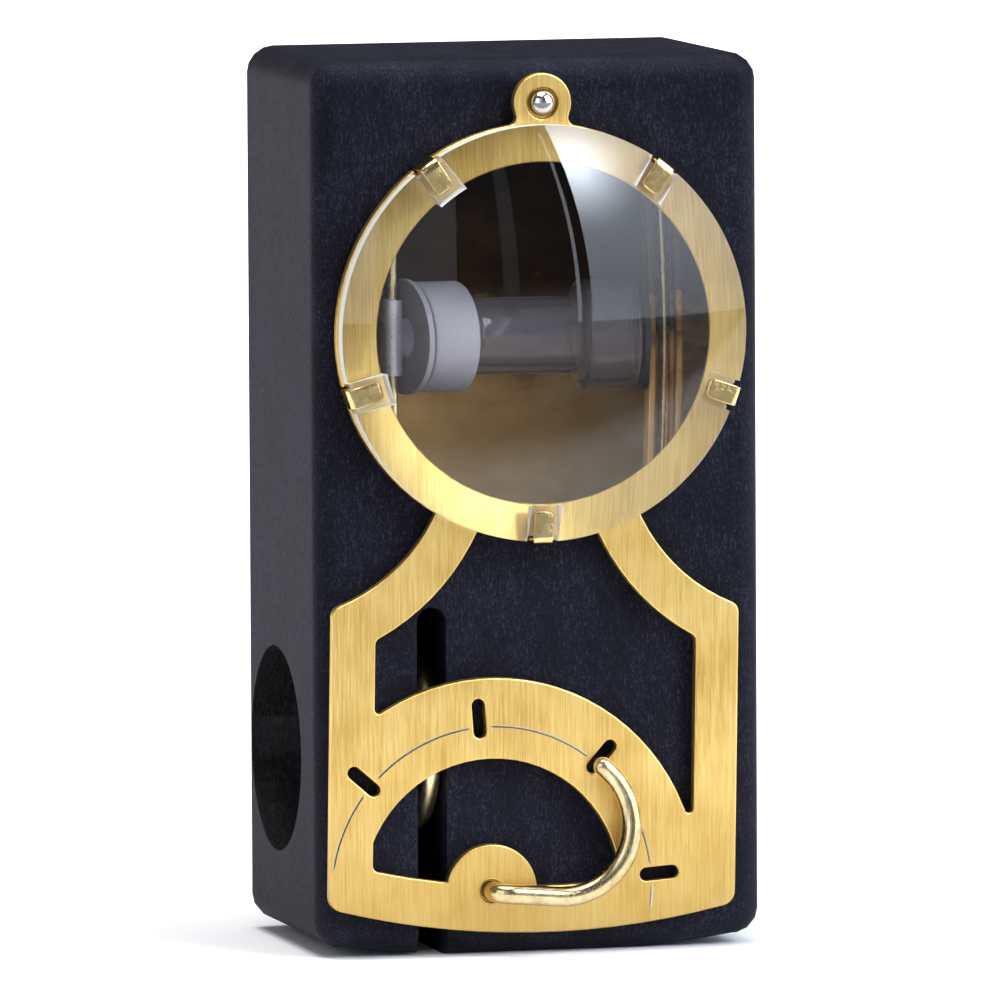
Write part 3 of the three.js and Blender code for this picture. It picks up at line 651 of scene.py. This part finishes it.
def inset(loop, distance):
    """A loop moved into the metal by a distance, mitred: distance * (n1 + n2) / (1 + n1.n2)."""
    way = unit(np.roll(loop, -1, 0) - loop)
    left = np.stack([-way[:, 1], way[:, 0]], -1)
    before = np.roll(left, 1, 0)
    both = left + before
    return loop + distance * both / (1 + (left * before).sum(1, keepdims=True)).clip(0.5)


def edge_profile(loop, depth):
    """Steps of (inset, depth) that carry a loop from the front face to the back face."""
    rim = arc(0, 90, 4)
    front = [(PLATE_EDGE * (1 - math.sin(a)), PLATE_EDGE * (1 - math.cos(a))) for a in rim]
    middle = loop.mean(0)
    radius = np.linalg.norm(loop - middle, axis=1).mean()
    if np.linalg.norm(middle - PIN[[0, 2]]) < 0.5 and radius < SMALL_HOLE:
        shelf = radius - LIP_RADIUS
        return front + [(0, depth - LIP), (-shelf, depth - LIP), (-shelf, depth)]
    if np.linalg.norm(middle - PIVOT[[0, 2]]) < 0.5 and radius < SMALL_HOLE:
        seat, shelf = radius - KEEPER_SEAT_RADIUS, depth - KEEPER_SEAT_DEPTH
        return front + [(0, shelf), (seat, shelf), (seat, depth)]
    return front + [(0, depth - PLATE_EDGE / 2), (PLATE_EDGE / 2, depth)]


def inside(points, loops):
    """Whether points lie inside an odd number of loops, by crossings of a ray along X."""
    hits = np.zeros(len(points), int)
    px, py = points[:, 0][:, None], points[:, 1][:, None]
    for loop in loops:
        ax, ay = loop.T
        bx, by = np.roll(loop, -1, 0).T
        spans = (ay > py) != (by > py)
        rise = np.where(by == ay, 1e-12, by - ay)
        hits += (spans & (px < (bx - ax) * (py - ay) / rise + ax)).sum(1)
    return hits % 2 == 1


def scribed_arcs():
    """Lines of the scribed arc: each span's two edges and its middle, meeting at both ends."""
    middle = PIVOT[[0, 2]]
    lines = []
    for start, end in SCRIBED_SPANS:
        angle = arc(start - COVER_SWING, end - COVER_SWING, int((end - start) / 1.5) + 3)
        way = np.stack([np.cos(angle), np.sin(angle)], -1)
        for offset in (SCRIBED_HALF_WIDTH, 0, -SCRIBED_HALF_WIDTH):
            width = np.full(len(angle), float(offset))
            width[[0, -1]] = 0
            lines.append((middle + way * (SCRIBED_RADIUS + width)[:, None], offset == 0))
    return lines


def flat_cap(loops, lines):
    """Triangles over the area inside the loops, with extra lines worked into them.

    Gives the points in the plane, which of them are sunk, and the triangles. The first points are
    those of the loops, in their order.
    """
    points, edges, sunk = [], [], []
    for loop in loops:
        base = len(points)
        points += loop.tolist()
        sunk += [False] * len(loop)
        edges += [(base + i, base + (i + 1) % len(loop)) for i in range(len(loop))]
    for line, is_middle in lines:
        base = len(points)
        points += line.tolist()
        sunk += [is_middle and 0 < i < len(line) - 1 for i in range(len(line))]
        edges += [(base + i, base + i + 1) for i in range(len(line) - 1)]
    found = delaunay_2d_cdt([Vector(p) for p in points], edges, [], 0, 1e-6)
    flat = np.array([tuple(v) for v in found[0]])
    faces = np.array(found[2])
    low = np.array([any(sunk[i] for i in came_from) for came_from in found[3]])
    faces = faces[inside(flat[faces].mean(1), loops)]
    return flat, low, faces


def plate_piece():
    """The cover plate: each outline carried down a rounded edge, and a flat front and back.

    The front holds the scribed arc as a shallow V groove.
    """
    front_y = corners("cover_plate")[0][1]
    loops = front_loops("cover_plate", front_y)
    profiles = [edge_profile(loop, PLATE) for loop in loops]
    points, faces = [], []

    def put(new_points, new_faces):
        """Adds points and the faces between them."""
        base = sum(map(len, points))
        points.append(new_points)
        faces.extend((np.asarray(new_faces) + base).tolist())

    for loop, profile in zip(loops, profiles):
        rings = [np.insert(inset(loop, i), 1, front_y + d, axis=1) for i, d in profile]
        put(np.concatenate(rings), skin(len(rings), len(loop))[:, ::-1])
    for end, depth, lines in ((0, 0, scribed_arcs()), (-1, PLATE, [])):
        outlines = [inset(loop, profile[end][0]) for loop, profile in zip(loops, profiles)]
        flat, low, cap = flat_cap(outlines, lines)
        put(np.insert(flat, 1, front_y + depth + low * SCRIBED_DEPTH, axis=1), cap)
    return new_piece("cover_plate_shell", np.concatenate(points), faces)


def cover_plate():
    """The cover plate, flat on its flats, with painted shade on the inner side of its groove and a
    painted highlight on the outer side.
    """
    plate = plate_piece()
    mesh = plate.data
    keep(plate, "cover", "cover_plate", "brushed_brass", BRUSHED, GROOVE_SHADE, GROOVE_HIGHLIGHT)
    centre = face_values(mesh, "center")
    sunk = centre[:, 1] - corners("cover_plate")[0][1]
    level = np.abs(face_values(mesh, "normal")[:, 1]) > 0.999
    across, up = (centre[:, [0, 2]] - PIVOT[[0, 2]]).T
    radius, angle = np.hypot(across, up), np.degrees(np.arctan2(up, across)) + COVER_SWING
    grooved = np.any([(angle > start) & (angle < end) for start, end in SCRIBED_SPANS], axis=0)
    grooved &= np.abs(radius - SCRIBED_RADIUS) < SCRIBED_HALF_WIDTH
    grooved &= (sunk > 0.004) & (sunk < 0.2) & ~level
    # Painted light in the groove: faces outside the arc's middle take the painted highlight, faces
    # inside it the painted shade.
    side = np.where(radius > SCRIBED_RADIUS, 2, 1)
    mesh.polygons.foreach_set("use_smooth", ~(level | grooved))
    mesh.polygons.foreach_set("material_index", np.where(grooved, side, 0).astype(np.int32))
    return plate


# ------------------------------------------------------------------ lens and claws


def lens_columns(radius):
    """Directions of the lens's columns at each radius, and where each lies on its ledge.

    On a ledge a column keeps its distance s from the claw's line: angle = claw + asin(s / r).
    Between two ledges the columns are spread evenly, and s is given as nan.
    """
    on_ledge = np.linspace(-0.992, 0.992, 7) * LEDGE_HALF_WIDTH
    reach = np.maximum(radius, LEDGE_START)[:, None]
    claws = sorted(CLAW_ANGLES)
    angles, aside = [], []
    for claw, following in zip(claws, claws[1:] + [claws[0] + 360]):
        edge = np.arcsin(LEDGE_HALF_WIDTH / reach)
        angles.append(math.radians(claw) + np.arcsin(on_ledge / reach))
        start, end = math.radians(claw) + edge, math.radians(following) - edge
        angles.append(start + (end - start) * np.linspace(0, 1, 30)[None])
        aside += [on_ledge, np.full(30, np.nan)]
    return np.concatenate(angles, 1), np.concatenate(aside)


def lens_piece():
    """Plano-convex lens: height over the plate's back as a function of radius and direction.

    The dome is a cap of a sphere, height = crown - R + sqrt(R^2 - r^2). Each ledge cuts it level,
    and behind it the rim is cut to a flat, r <= sqrt(flat^2 + s^2). The rim and back close it.
    """
    sphere = (LENS_RADIUS**2 + LENS_DOME**2) / (2 * LENS_DOME)
    crown = LENS_BACK + LENS_EDGE + LENS_DOME
    outer = np.linspace(LENS_RADIUS, LEDGE_START + 0.01, 12)
    inner = (LEDGE_START - 0.01) * np.cos(arc(0, 90, 60))
    radius = np.concatenate([[0, 12, LENS_RADIUS - 0.12, LENS_RADIUS], outer, inner])
    height = crown - sphere + np.sqrt(sphere**2 - radius**2)
    angle, aside = lens_columns(radius)
    on_ledge = ~np.isnan(aside)
    cut = on_ledge[None] & (radius > LEDGE_START)[:, None]
    height = np.where(cut, np.minimum(height[:, None], LEDGE_TOP), height[:, None])
    height[:3] = LENS_BACK
    height[3] = LENS_BACK + 0.12
    most = np.where(on_ledge, np.hypot(LENS_FLAT, np.nan_to_num(aside)), LENS_RADIUS)
    reach = np.minimum(radius[:, None], most[None])
    x, z = reach * np.cos(angle), reach * np.sin(angle)
    return surface("lens_dome", on_lens(np.stack([x, -height, z], -1)), sharp_above=30)


def lens():
    """The lens, polished on its dome and back and ground on its rim and ledges."""
    dome = lens_piece()
    mesh = dome.data
    keep(dome, "cover", "lens", "lens_glass", LENS_GLASS, GROUND, LEDGE_GLASS, COATED)
    height = PIN[1] - face_values(mesh, "center")[:, 1]
    out = -face_values(mesh, "normal")[:, 1]
    wall = (height > LENS_BACK + 0.02) & (out < 0.8)
    ledge = (out > 0.99) & (np.abs(height - LEDGE_TOP) < 0.02)
    back = height < LENS_BACK + 0.02
    index = np.select([wall, ledge, back], [1, 2, 3], 0).astype(np.int32)
    mesh.polygons.foreach_set("material_index", index)
    return dome


def lens_claw(number, angle):
    """A flat strip bent over the rim: a rounded rectangle carried up, round a bend and inwards."""
    bent = [(CLAW_LINE, 0.12), (CLAW_LINE, CLAW_HEIGHT), (CLAW_TIP, CLAW_HEIGHT)]
    line = soften(bent, CLAW_BEND, steps=9)
    path = np.stack([line[:, 0], -line[:, 1], 0 * line[:, 0]], -1)
    path, from_end = stationed(path, CLAW_TIP_ROUND, 26)
    tip = np.arange(len(path)) > len(path) / 2
    rounded = CLAW_TIP_SHARE + (1 - CLAW_TIP_SHARE) * domed(from_end, CLAW_TIP_ROUND)
    width = np.where(tip, rounded, 1)
    thickness = domed(from_end + 0.02, 0.34)
    half = np.array([CLAW_WIDTH, CLAW_THICKNESS]) / 2
    section = soften(np.array([(-1, -1), (1, -1), (1, 1), (-1, 1)]) * half, CLAW_EDGE, closed=True)
    scale = np.stack([width, thickness], -1)
    scale[[0, -1]] = 0
    grid = swept(path, section, np.array([0.0, 0.0, 1.0]), scale)
    claw = surface(f"claw_strip_{number}", on_lens(spun(grid, angle)), sharp_above=50)
    return keep(claw, "cover", f"lens_claw_{number}", "polished_brass", CLAW_BRASS)


# ------------------------------------------------------------------ lever and hoop


def lever_path():
    """Centre line of the lever's wire.

    The shank stands out of the hub and bends over, a straight run meets the bow as a tangent, and
    the last stretch leaves the bow as a tangent too and sinks towards the tip.
    """
    gap = np.linalg.norm(LEVER_BOW_CENTRE)
    run = math.atan2(LEVER_BOW_CENTRE[1], LEVER_BOW_CENTRE[0]) - math.asin(LEVER_BOW_RADIUS / gap)
    to_tip = np.array([LEVER_REACH, 0]) - LEVER_BOW_CENTRE
    reach = np.linalg.norm(to_tip)
    bow_end = math.atan2(to_tip[1], to_tip[0]) - math.acos(LEVER_BOW_RADIUS / reach)
    bend = arc(0, 90, 14)
    out = LEVER_BEND * (1 - np.cos(bend))
    rise = LEVER_RUN_HEIGHT - LEVER_BEND * (1 - np.sin(bend))
    bent = np.stack([out * math.cos(run), rise, out * math.sin(run)], -1)
    stations = np.arange(60)
    turn = np.linspace(run - math.pi / 2, bow_end, len(stations))
    fall = np.clip((stations - 24) / 37, 0, 1)
    fall = fall * fall * (3 - 2 * fall)
    height = LEVER_RUN_HEIGHT + (LEVER_TIP_HEIGHT - LEVER_RUN_HEIGHT) * fall
    bow = np.stack([
        LEVER_BOW_CENTRE[0] + LEVER_BOW_RADIUS * np.cos(turn), height,
        LEVER_BOW_CENTRE[1] + LEVER_BOW_RADIUS * np.sin(turn),
    ], -1)
    line = np.concatenate([
        [(0, KEEPER_LIFT, 0)], bent, bow, [(LEVER_REACH, LEVER_TIP_HEIGHT, 0)],
    ])
    return line * np.array([1, -1, 1]), run


def index_lever():
    """Polished wire with domed ends."""
    path, run = lever_path()
    path, from_end = stationed(path, WIRE, 150)
    sideways = np.array([math.cos(run - 0.9), 0, math.sin(run - 0.9)])
    scale = domed(from_end, WIRE)[:, None] * np.ones(2)
    wire = surface("lever_wire", on_lever(swept(path, circle_section(WIRE), sideways, scale)))
    return keep(wire, "lever", "index_lever", "polished_brass", WIRE_BRASS)


def hoop():
    """A ring of wire: a circle of the wire's radius carried round a circle in the Y-Z plane."""
    u = np.linspace(0, 2 * math.pi, 160, endpoint=False)[:, None]
    v = np.linspace(0, 2 * math.pi, 28, endpoint=False)[None]
    reach = HOOP_MIDDLE_RADIUS + WIRE * np.cos(v)
    grid = np.stack([WIRE * np.sin(v) + 0 * u, reach * np.cos(u), reach * np.sin(u)], -1)
    ring = surface("hoop_wire", grid + HOOP, along=True)
    # Its brass is painted paler, as painted light in the shaded slot.
    return keep(ring, "hoop", "hoop_ring", "polished_brass", PALE_BRIGHTENED_BRASS)


# ------------------------------------------------------------------ turned pieces


def rod(name, node, axis, material, slot, end=0.15):
    """A plain rod in a CAD node's place, with its ends chamfered round."""
    low, high = corners(node)
    which = "xyz".index(axis)
    radius = (high - low)[(which + 1) % 3] / 2
    centre = (low + high) / 2
    centre[which] = 0
    outline = [(0, low[which]), (radius, low[which]), (radius, high[which]), (0, high[which])]
    line = soften(outline, end)
    return keep(turned(name, line, axis, centre, sides=48), "case", node, slot, material)


def ring_piece(name, node, axis, hole, material, slot, body="case", edge=0.08):
    """A flat ring or a sleeve in a CAD node's place, with its edges broken."""
    low, high = corners(node)
    which = "xyz".index(axis)
    radius = (high - low)[(which + 1) % 3] / 2
    centre = (low + high) / 2
    centre[which] = 0
    outline = [(hole, low[which]), (radius, low[which]), (radius, high[which]), (hole, high[which])]
    line = soften(outline, edge, closed=True)
    return keep(turned(name, line, axis, centre, closed=True), body, node, slot, material)


def pivot_pin():
    """The pin: a shank in the case and the ball that is seen in the eyelet."""
    low, high = corners("pivot_pin")
    ball = (high - low)[0] / 2
    middle = low[1] + ball
    angle = arc(-90, 90 - math.degrees(math.asin(PIN_SHANK / ball)), 28)
    line = np.stack([ball * np.cos(angle), middle + ball * np.sin(angle)], -1)
    line[0, 0] = 0
    tail = [(PIN_SHANK, high[1] - PIN_POINT), (PIN_POINT, high[1]), (0, high[1])]
    line = np.concatenate([line, tail])
    centre = (low + high) / 2 * np.array([1, 0, 1])
    pin = turned("pin_ball", line, "y", centre, sides=72)
    return keep(pin, "case", "pivot_pin", "steel", STEEL)


def vial():
    """The glass spool: one wall turned round its axis, frosted on its wide left end."""
    low, high = corners("vial")
    start = low[0]
    neck_start = VIAL_LEFT + VIAL_SLOPE
    neck_end = neck_start + VIAL_NECK_LENGTH
    steps = [
        (VIAL_END, 0), (VIAL_END, VIAL_LEFT), (VIAL_NECK, neck_start),
        (VIAL_NECK, neck_end), (VIAL_END, neck_end + VIAL_SLOPE), (VIAL_END, high[0] - start),
    ]
    inner = [(radius - VIAL_WALL, along) for radius, along in reversed(steps)]
    line = soften([(r, start + a) for r, a in steps + inner], 0.32, closed=True, steps=6)
    centre = (low + high) / 2 * np.array([0, 1, 1])
    spool = turned("vial_spool", line, "x", centre, closed=True, sides=120)
    keep(spool, "case", "vial", "vial_glass", VIAL_GLASS, FROSTED)
    mesh = spool.data
    frosted = face_values(mesh, "center")[:, 0] < start + VIAL_LEFT + 0.2
    mesh.polygons.foreach_set("material_index", frosted.astype(np.int32))
    return spool


def chamber_back():
    """Disc at the back of the chamber, its edge broken."""
    low, high = corners("chamber_back_plate")
    radius = (high - low)[0] / 2
    line = soften([(0, low[1]), (radius, low[1]), (radius, high[1]), (0, high[1])], 0.12)
    centre = (low + high) / 2 * np.array([1, 0, 1])
    disc = turned("chamber_disc", line, "y", centre, sides=144)
    # Its brass gets painted shade: golden low down, almost black above.
    return keep(
        disc, "case", "chamber_back_plate", "brushed_brass",
        brass_painted_dark_above("back_brass_painted_shade", low[2], high[2]),
    )


def side_channel():
    """The channel: a U with rounded corners carried straight up."""
    low, high = corners("side_channel")
    wall = 0.7
    left, front, bottom = low
    right, back, top = high
    outline = [
        (left, front), (left, back), (right, back), (right, front), (right - wall, front),
        (right - wall, back - wall), (left + wall, back - wall), (left + wall, front),
    ]
    section = soften(outline, 0.12, closed=True)
    height = np.array([bottom, bottom, top, top])
    size = np.array([0.97, 1, 1, 0.97])
    middle = section.mean(0)
    flat = middle + (section - middle)[None] * size[:, None, None]
    rows = np.concatenate([flat, np.broadcast_to(height[:, None, None], (4, len(section), 1))], -1)
    made = new_piece("channel_u", rows, skin(4, len(section)).tolist())
    work = bmesh.new()
    work.from_mesh(made.data)
    bmesh.ops.holes_fill(work, edges=[e for e in work.edges if e.is_boundary], sides=0)
    bmesh.ops.recalc_face_normals(work, faces=work.faces)
    work.to_mesh(made.data)
    work.free()
    # The channel's brass gets painted shade too, darkening upwards.
    brass = brass_painted_dark_above("channel_brass_painted_shade", bottom - 8, top + 14)
    return keep(made, "case", "side_channel", "brushed_brass", brass)


# ------------------------------------------------------------------ putting it together

case_shell()
cover_plate()
lens()
for claw_number, claw_angle in enumerate(CLAW_ANGLES, 1):
    lens_claw(claw_number, claw_angle)
index_lever()
hoop()
pivot_pin()
vial()
chamber_back()
side_channel()
rod("hoop_pin_rod", "hoop_pin", "x", STEEL, "steel")
# The post's brass is painted paler, as painted light in the shaded chamber.
rod("post_rod", "left_post", "z", PALE_BRIGHTENED_BRASS, "polished_brass", end=0.1)
rod("channel_wire", "channel_rod", "z", WIRE_BRASS, "polished_brass", end=0.1)
ring_piece("post_ferrule", "post_sleeve", "z", 0.6, NICKEL, "nickel")
ring_piece("pin_washer", "pivot_washer", "y", 1.2, WIRE_BRASS, "polished_brass")
ring_piece("collar_left", "vial_collar_left", "x", 2.0, FROSTED, "vial_glass")
ring_piece("collar_right", "vial_collar_right", "x", 2.0, COLLAR, "dark_collar")
ring_piece("keeper_ring", "lever_keeper", "y", 1.3, WIRE_BRASS, "polished_brass", "lever")

# ------------------------------------------------------------------ studio


SHEET_REACH = 7.0
SKY_SPOT = (29, 40)
DAYLIGHT = (0.80, 0.88, 1.0)
PANE_LIGHT = (0.88, 0.90, 1.0)
ROOM_LIGHT = (0.96, 0.95, 1.0, 1)
FLOOR_CORNERS = ((-12, -12), (12, -12), (12, 14), (-12, 14))
FLOOR_LEAN = 0.26
GREY_FLOOR = (0.22, 0.22, 0.225)
WHITE_FLOOR = (0.92, 0.92, 0.92)
VIEW = (-14.745, 5.276)
VIEW_LEAN = -0.296
VIEW_DISTANCE = 1.8408
VIEW_NUDGE = (-0.00019, -0.00085, 0)
FOCAL_LENGTH = 549


def towards(azimuth, elevation):
    """Way out from the lens, for an azimuth to the right of straight ahead and an elevation."""
    a, e = np.radians(azimuth), np.radians(elevation)
    return np.stack([np.sin(a) * np.cos(e), -np.cos(a) * np.cos(e), np.sin(e)], -1)


def on_sheet(azimuth, elevation):
    """A place on the sphere of light sheets round the lens, in metres."""
    middle = np.array([0, FRONT, PIN[2] - RING_DROP]) * MM
    return middle + SHEET_REACH * towards(azimuth, elevation)


def sheet_of_light(name, azimuths, elevations, material):
    """Part of a sphere round the lens, between two azimuths and two elevations."""
    a, e = np.meshgrid(np.linspace(*azimuths, 24), np.linspace(*elevations, 24), indexing="ij")
    mesh = bpy.data.meshes.new(name)
    points = on_sheet(a, e).reshape(-1, 3)
    mesh.from_pydata(points.tolist(), [], skin(24, 24, around=False).tolist())
    mesh.materials.append(material)
    placed(name, mesh)


def glowing(name, colour):
    """A material that only gives light, and its tree and emission shader."""
    material = bpy.data.materials.new(name)
    material.use_nodes = True
    tree = material.node_tree
    tree.nodes.remove(tree.nodes["Principled BSDF"])
    lamp = add(tree, "Emission", {"Color": (*colour, 1)})
    tree.links.new(lamp.outputs[0], tree.nodes["Material Output"].inputs["Surface"])
    return material, tree, lamp


def window_light(low, high, spot):
    """Daylight in a tall window: brighter upwards, with the sky brightest at one place.

    Strength goes from low to high with the height, and spot * patch^2 is added, where patch falls
    from 1 to 0 with the distance from the bright place.
    """
    material, tree, shader = glowing("window_light", DAYLIGHT)
    rise = spread(tree, position(tree, "Z"), low, high, 0.0, 0.7 * SHEET_REACH)
    place = add(tree, "TexCoord", {}).outputs["Object"]
    sky = tuple(on_sheet(*SKY_SPOT))
    far = add(tree, "VectorMath", {0: place, 1: sky}, operation="DISTANCE").outputs["Value"]
    patch = spread(tree, far, 1.0, 0.0, 0.03 * SHEET_REACH, 0.34 * SHEET_REACH)
    soft = add(tree, "Math", {0: patch, 1: 2.0}, operation="POWER").outputs[0]
    tree.links.new(total(tree, rise, product(tree, soft, spot)), shader.inputs["Strength"])
    return material


def floor():
    """One pale floor: white round the piece, a soft grey in front, lit from below far behind.

    The depth along the floor is y + 0.26 x, because the viewpoint stands to the left.
    """
    material, tree, shader = finish("pale_floor", Roughness=0.85, Specular_IOR_Level=0.2)
    across, back = position(tree, "X"), position(tree, "Y")
    depth = total(tree, back, product(tree, across, FLOOR_LEAN))
    near = spread(tree, depth, 0.0, 1.0, -0.125, -0.088)
    pale = ramp(tree, near, (0.0, GREY_FLOOR), (1.0, WHITE_FLOOR))
    tree.links.new(pale, shader.inputs["Base Color"])
    tree.links.new(spread(tree, back, 0.0, 1.0, 0.15, 1.3), shader.inputs["Emission Strength"])
    shader.inputs["Emission Color"].default_value = (1, 1, 1, 1)
    mesh = bpy.data.meshes.new("floor")
    mesh.from_pydata([(x, y, 0) for x, y in FLOOR_CORNERS], [], [(0, 1, 2, 3)])
    mesh.materials.append(material)
    placed("floor", mesh)


def lamp(name, place, aim, size, power):
    """A soft rectangular lamp turned towards a point."""
    data = bpy.data.lights.new(name, "AREA")
    data.shape = "RECTANGLE"
    data.size, data.size_y = size
    data.energy = power
    made = placed(name, data)
    made.location = place
    made.rotation_mode = "QUATERNION"
    made.rotation_quaternion = (Vector(aim) - made.location).to_track_quat("-Z", "Y")


def surroundings():
    """A dim room in front with a pale band at eye level, and pale walls behind to the left."""
    world = bpy.data.worlds.new("studio")
    bpy.context.scene.world = world
    world.use_nodes = True
    tree = world.node_tree
    way = add(tree, "TexCoord", {}).outputs["Generated"]
    axes = add(tree, "SeparateXYZ", {"Vector": way})
    level = add(tree, "Math", {0: axes.outputs["Z"]}, operation="ABSOLUTE").outputs[0]
    band = spread(tree, level, 0.45, 0.0, 0.04, 0.18)
    above = spread(tree, axes.outputs["Z"], 0.0, 0.4, 0.80, 0.95)
    left = spread(tree, axes.outputs["X"], 0.45, 0.0, -0.6, 0.05)
    behind = spread(tree, axes.outputs["Y"], 0.0, 1.0, 0.2, 0.6)
    strength = total(tree, band, above, product(tree, left, behind), 0.06)
    tree.links.new(strength, tree.nodes["Background"].inputs["Strength"])
    tree.nodes["Background"].inputs["Color"].default_value = ROOM_LIGHT


def studio():
    """Floor, a tall window to the right in front, paler panes, a soft lamp above, and the room."""
    floor()
    sheet_of_light("window", (24.5, 85), (-2, 55), window_light(2.3, 5.5, 24.0))
    panes = [
        ("curtain", (-0.2, 4.4), (-2, 50), 0.32),
        ("reveal", (20.4, 21.5), (-2, 50), 3.2),
        ("left_card", (-75, -36), (-2, 38), 2.0),
        ("dim_card", (-36, -13), (-2, 42), 0.55),
    ]
    for name, azimuths, elevations, strength in panes:
        pane, _, shader = glowing(name + "_glow", PANE_LIGHT)
        shader.inputs["Strength"].default_value = strength
        sheet_of_light(name, azimuths, elevations, pane)
    lamp("top_lamp", (-0.2, -0.05, 2.0), (0, 0.1, 0), (1.3, 1.3), 44)
    surroundings()


def camera():
    """The viewpoint: a long lens, a little to the left and above, with a slight lean."""
    back = Vector(towards(*VIEW))
    turn = (-back).to_track_quat("-Z", "Y").to_matrix()
    aimed = turn @ Matrix.Rotation(math.radians(VIEW_LEAN), 3, "Z")
    target = Vector((0, 0, CASE_HIGH[2] / 2 * MM))
    data = bpy.data.cameras.new("camera")
    data.sensor_width = 36
    data.lens = FOCAL_LENGTH
    data.clip_start, data.clip_end = 0.05, 100
    view = placed("camera", data)
    view.rotation_mode = "QUATERNION"
    view.rotation_quaternion = aimed.to_quaternion()
    view.location = target + back * VIEW_DISTANCE + aimed @ Vector(VIEW_NUDGE)
    bpy.context.scene.camera = view


studio()
camera()
bpy.context.scene.view_settings.view_transform = "Standard"
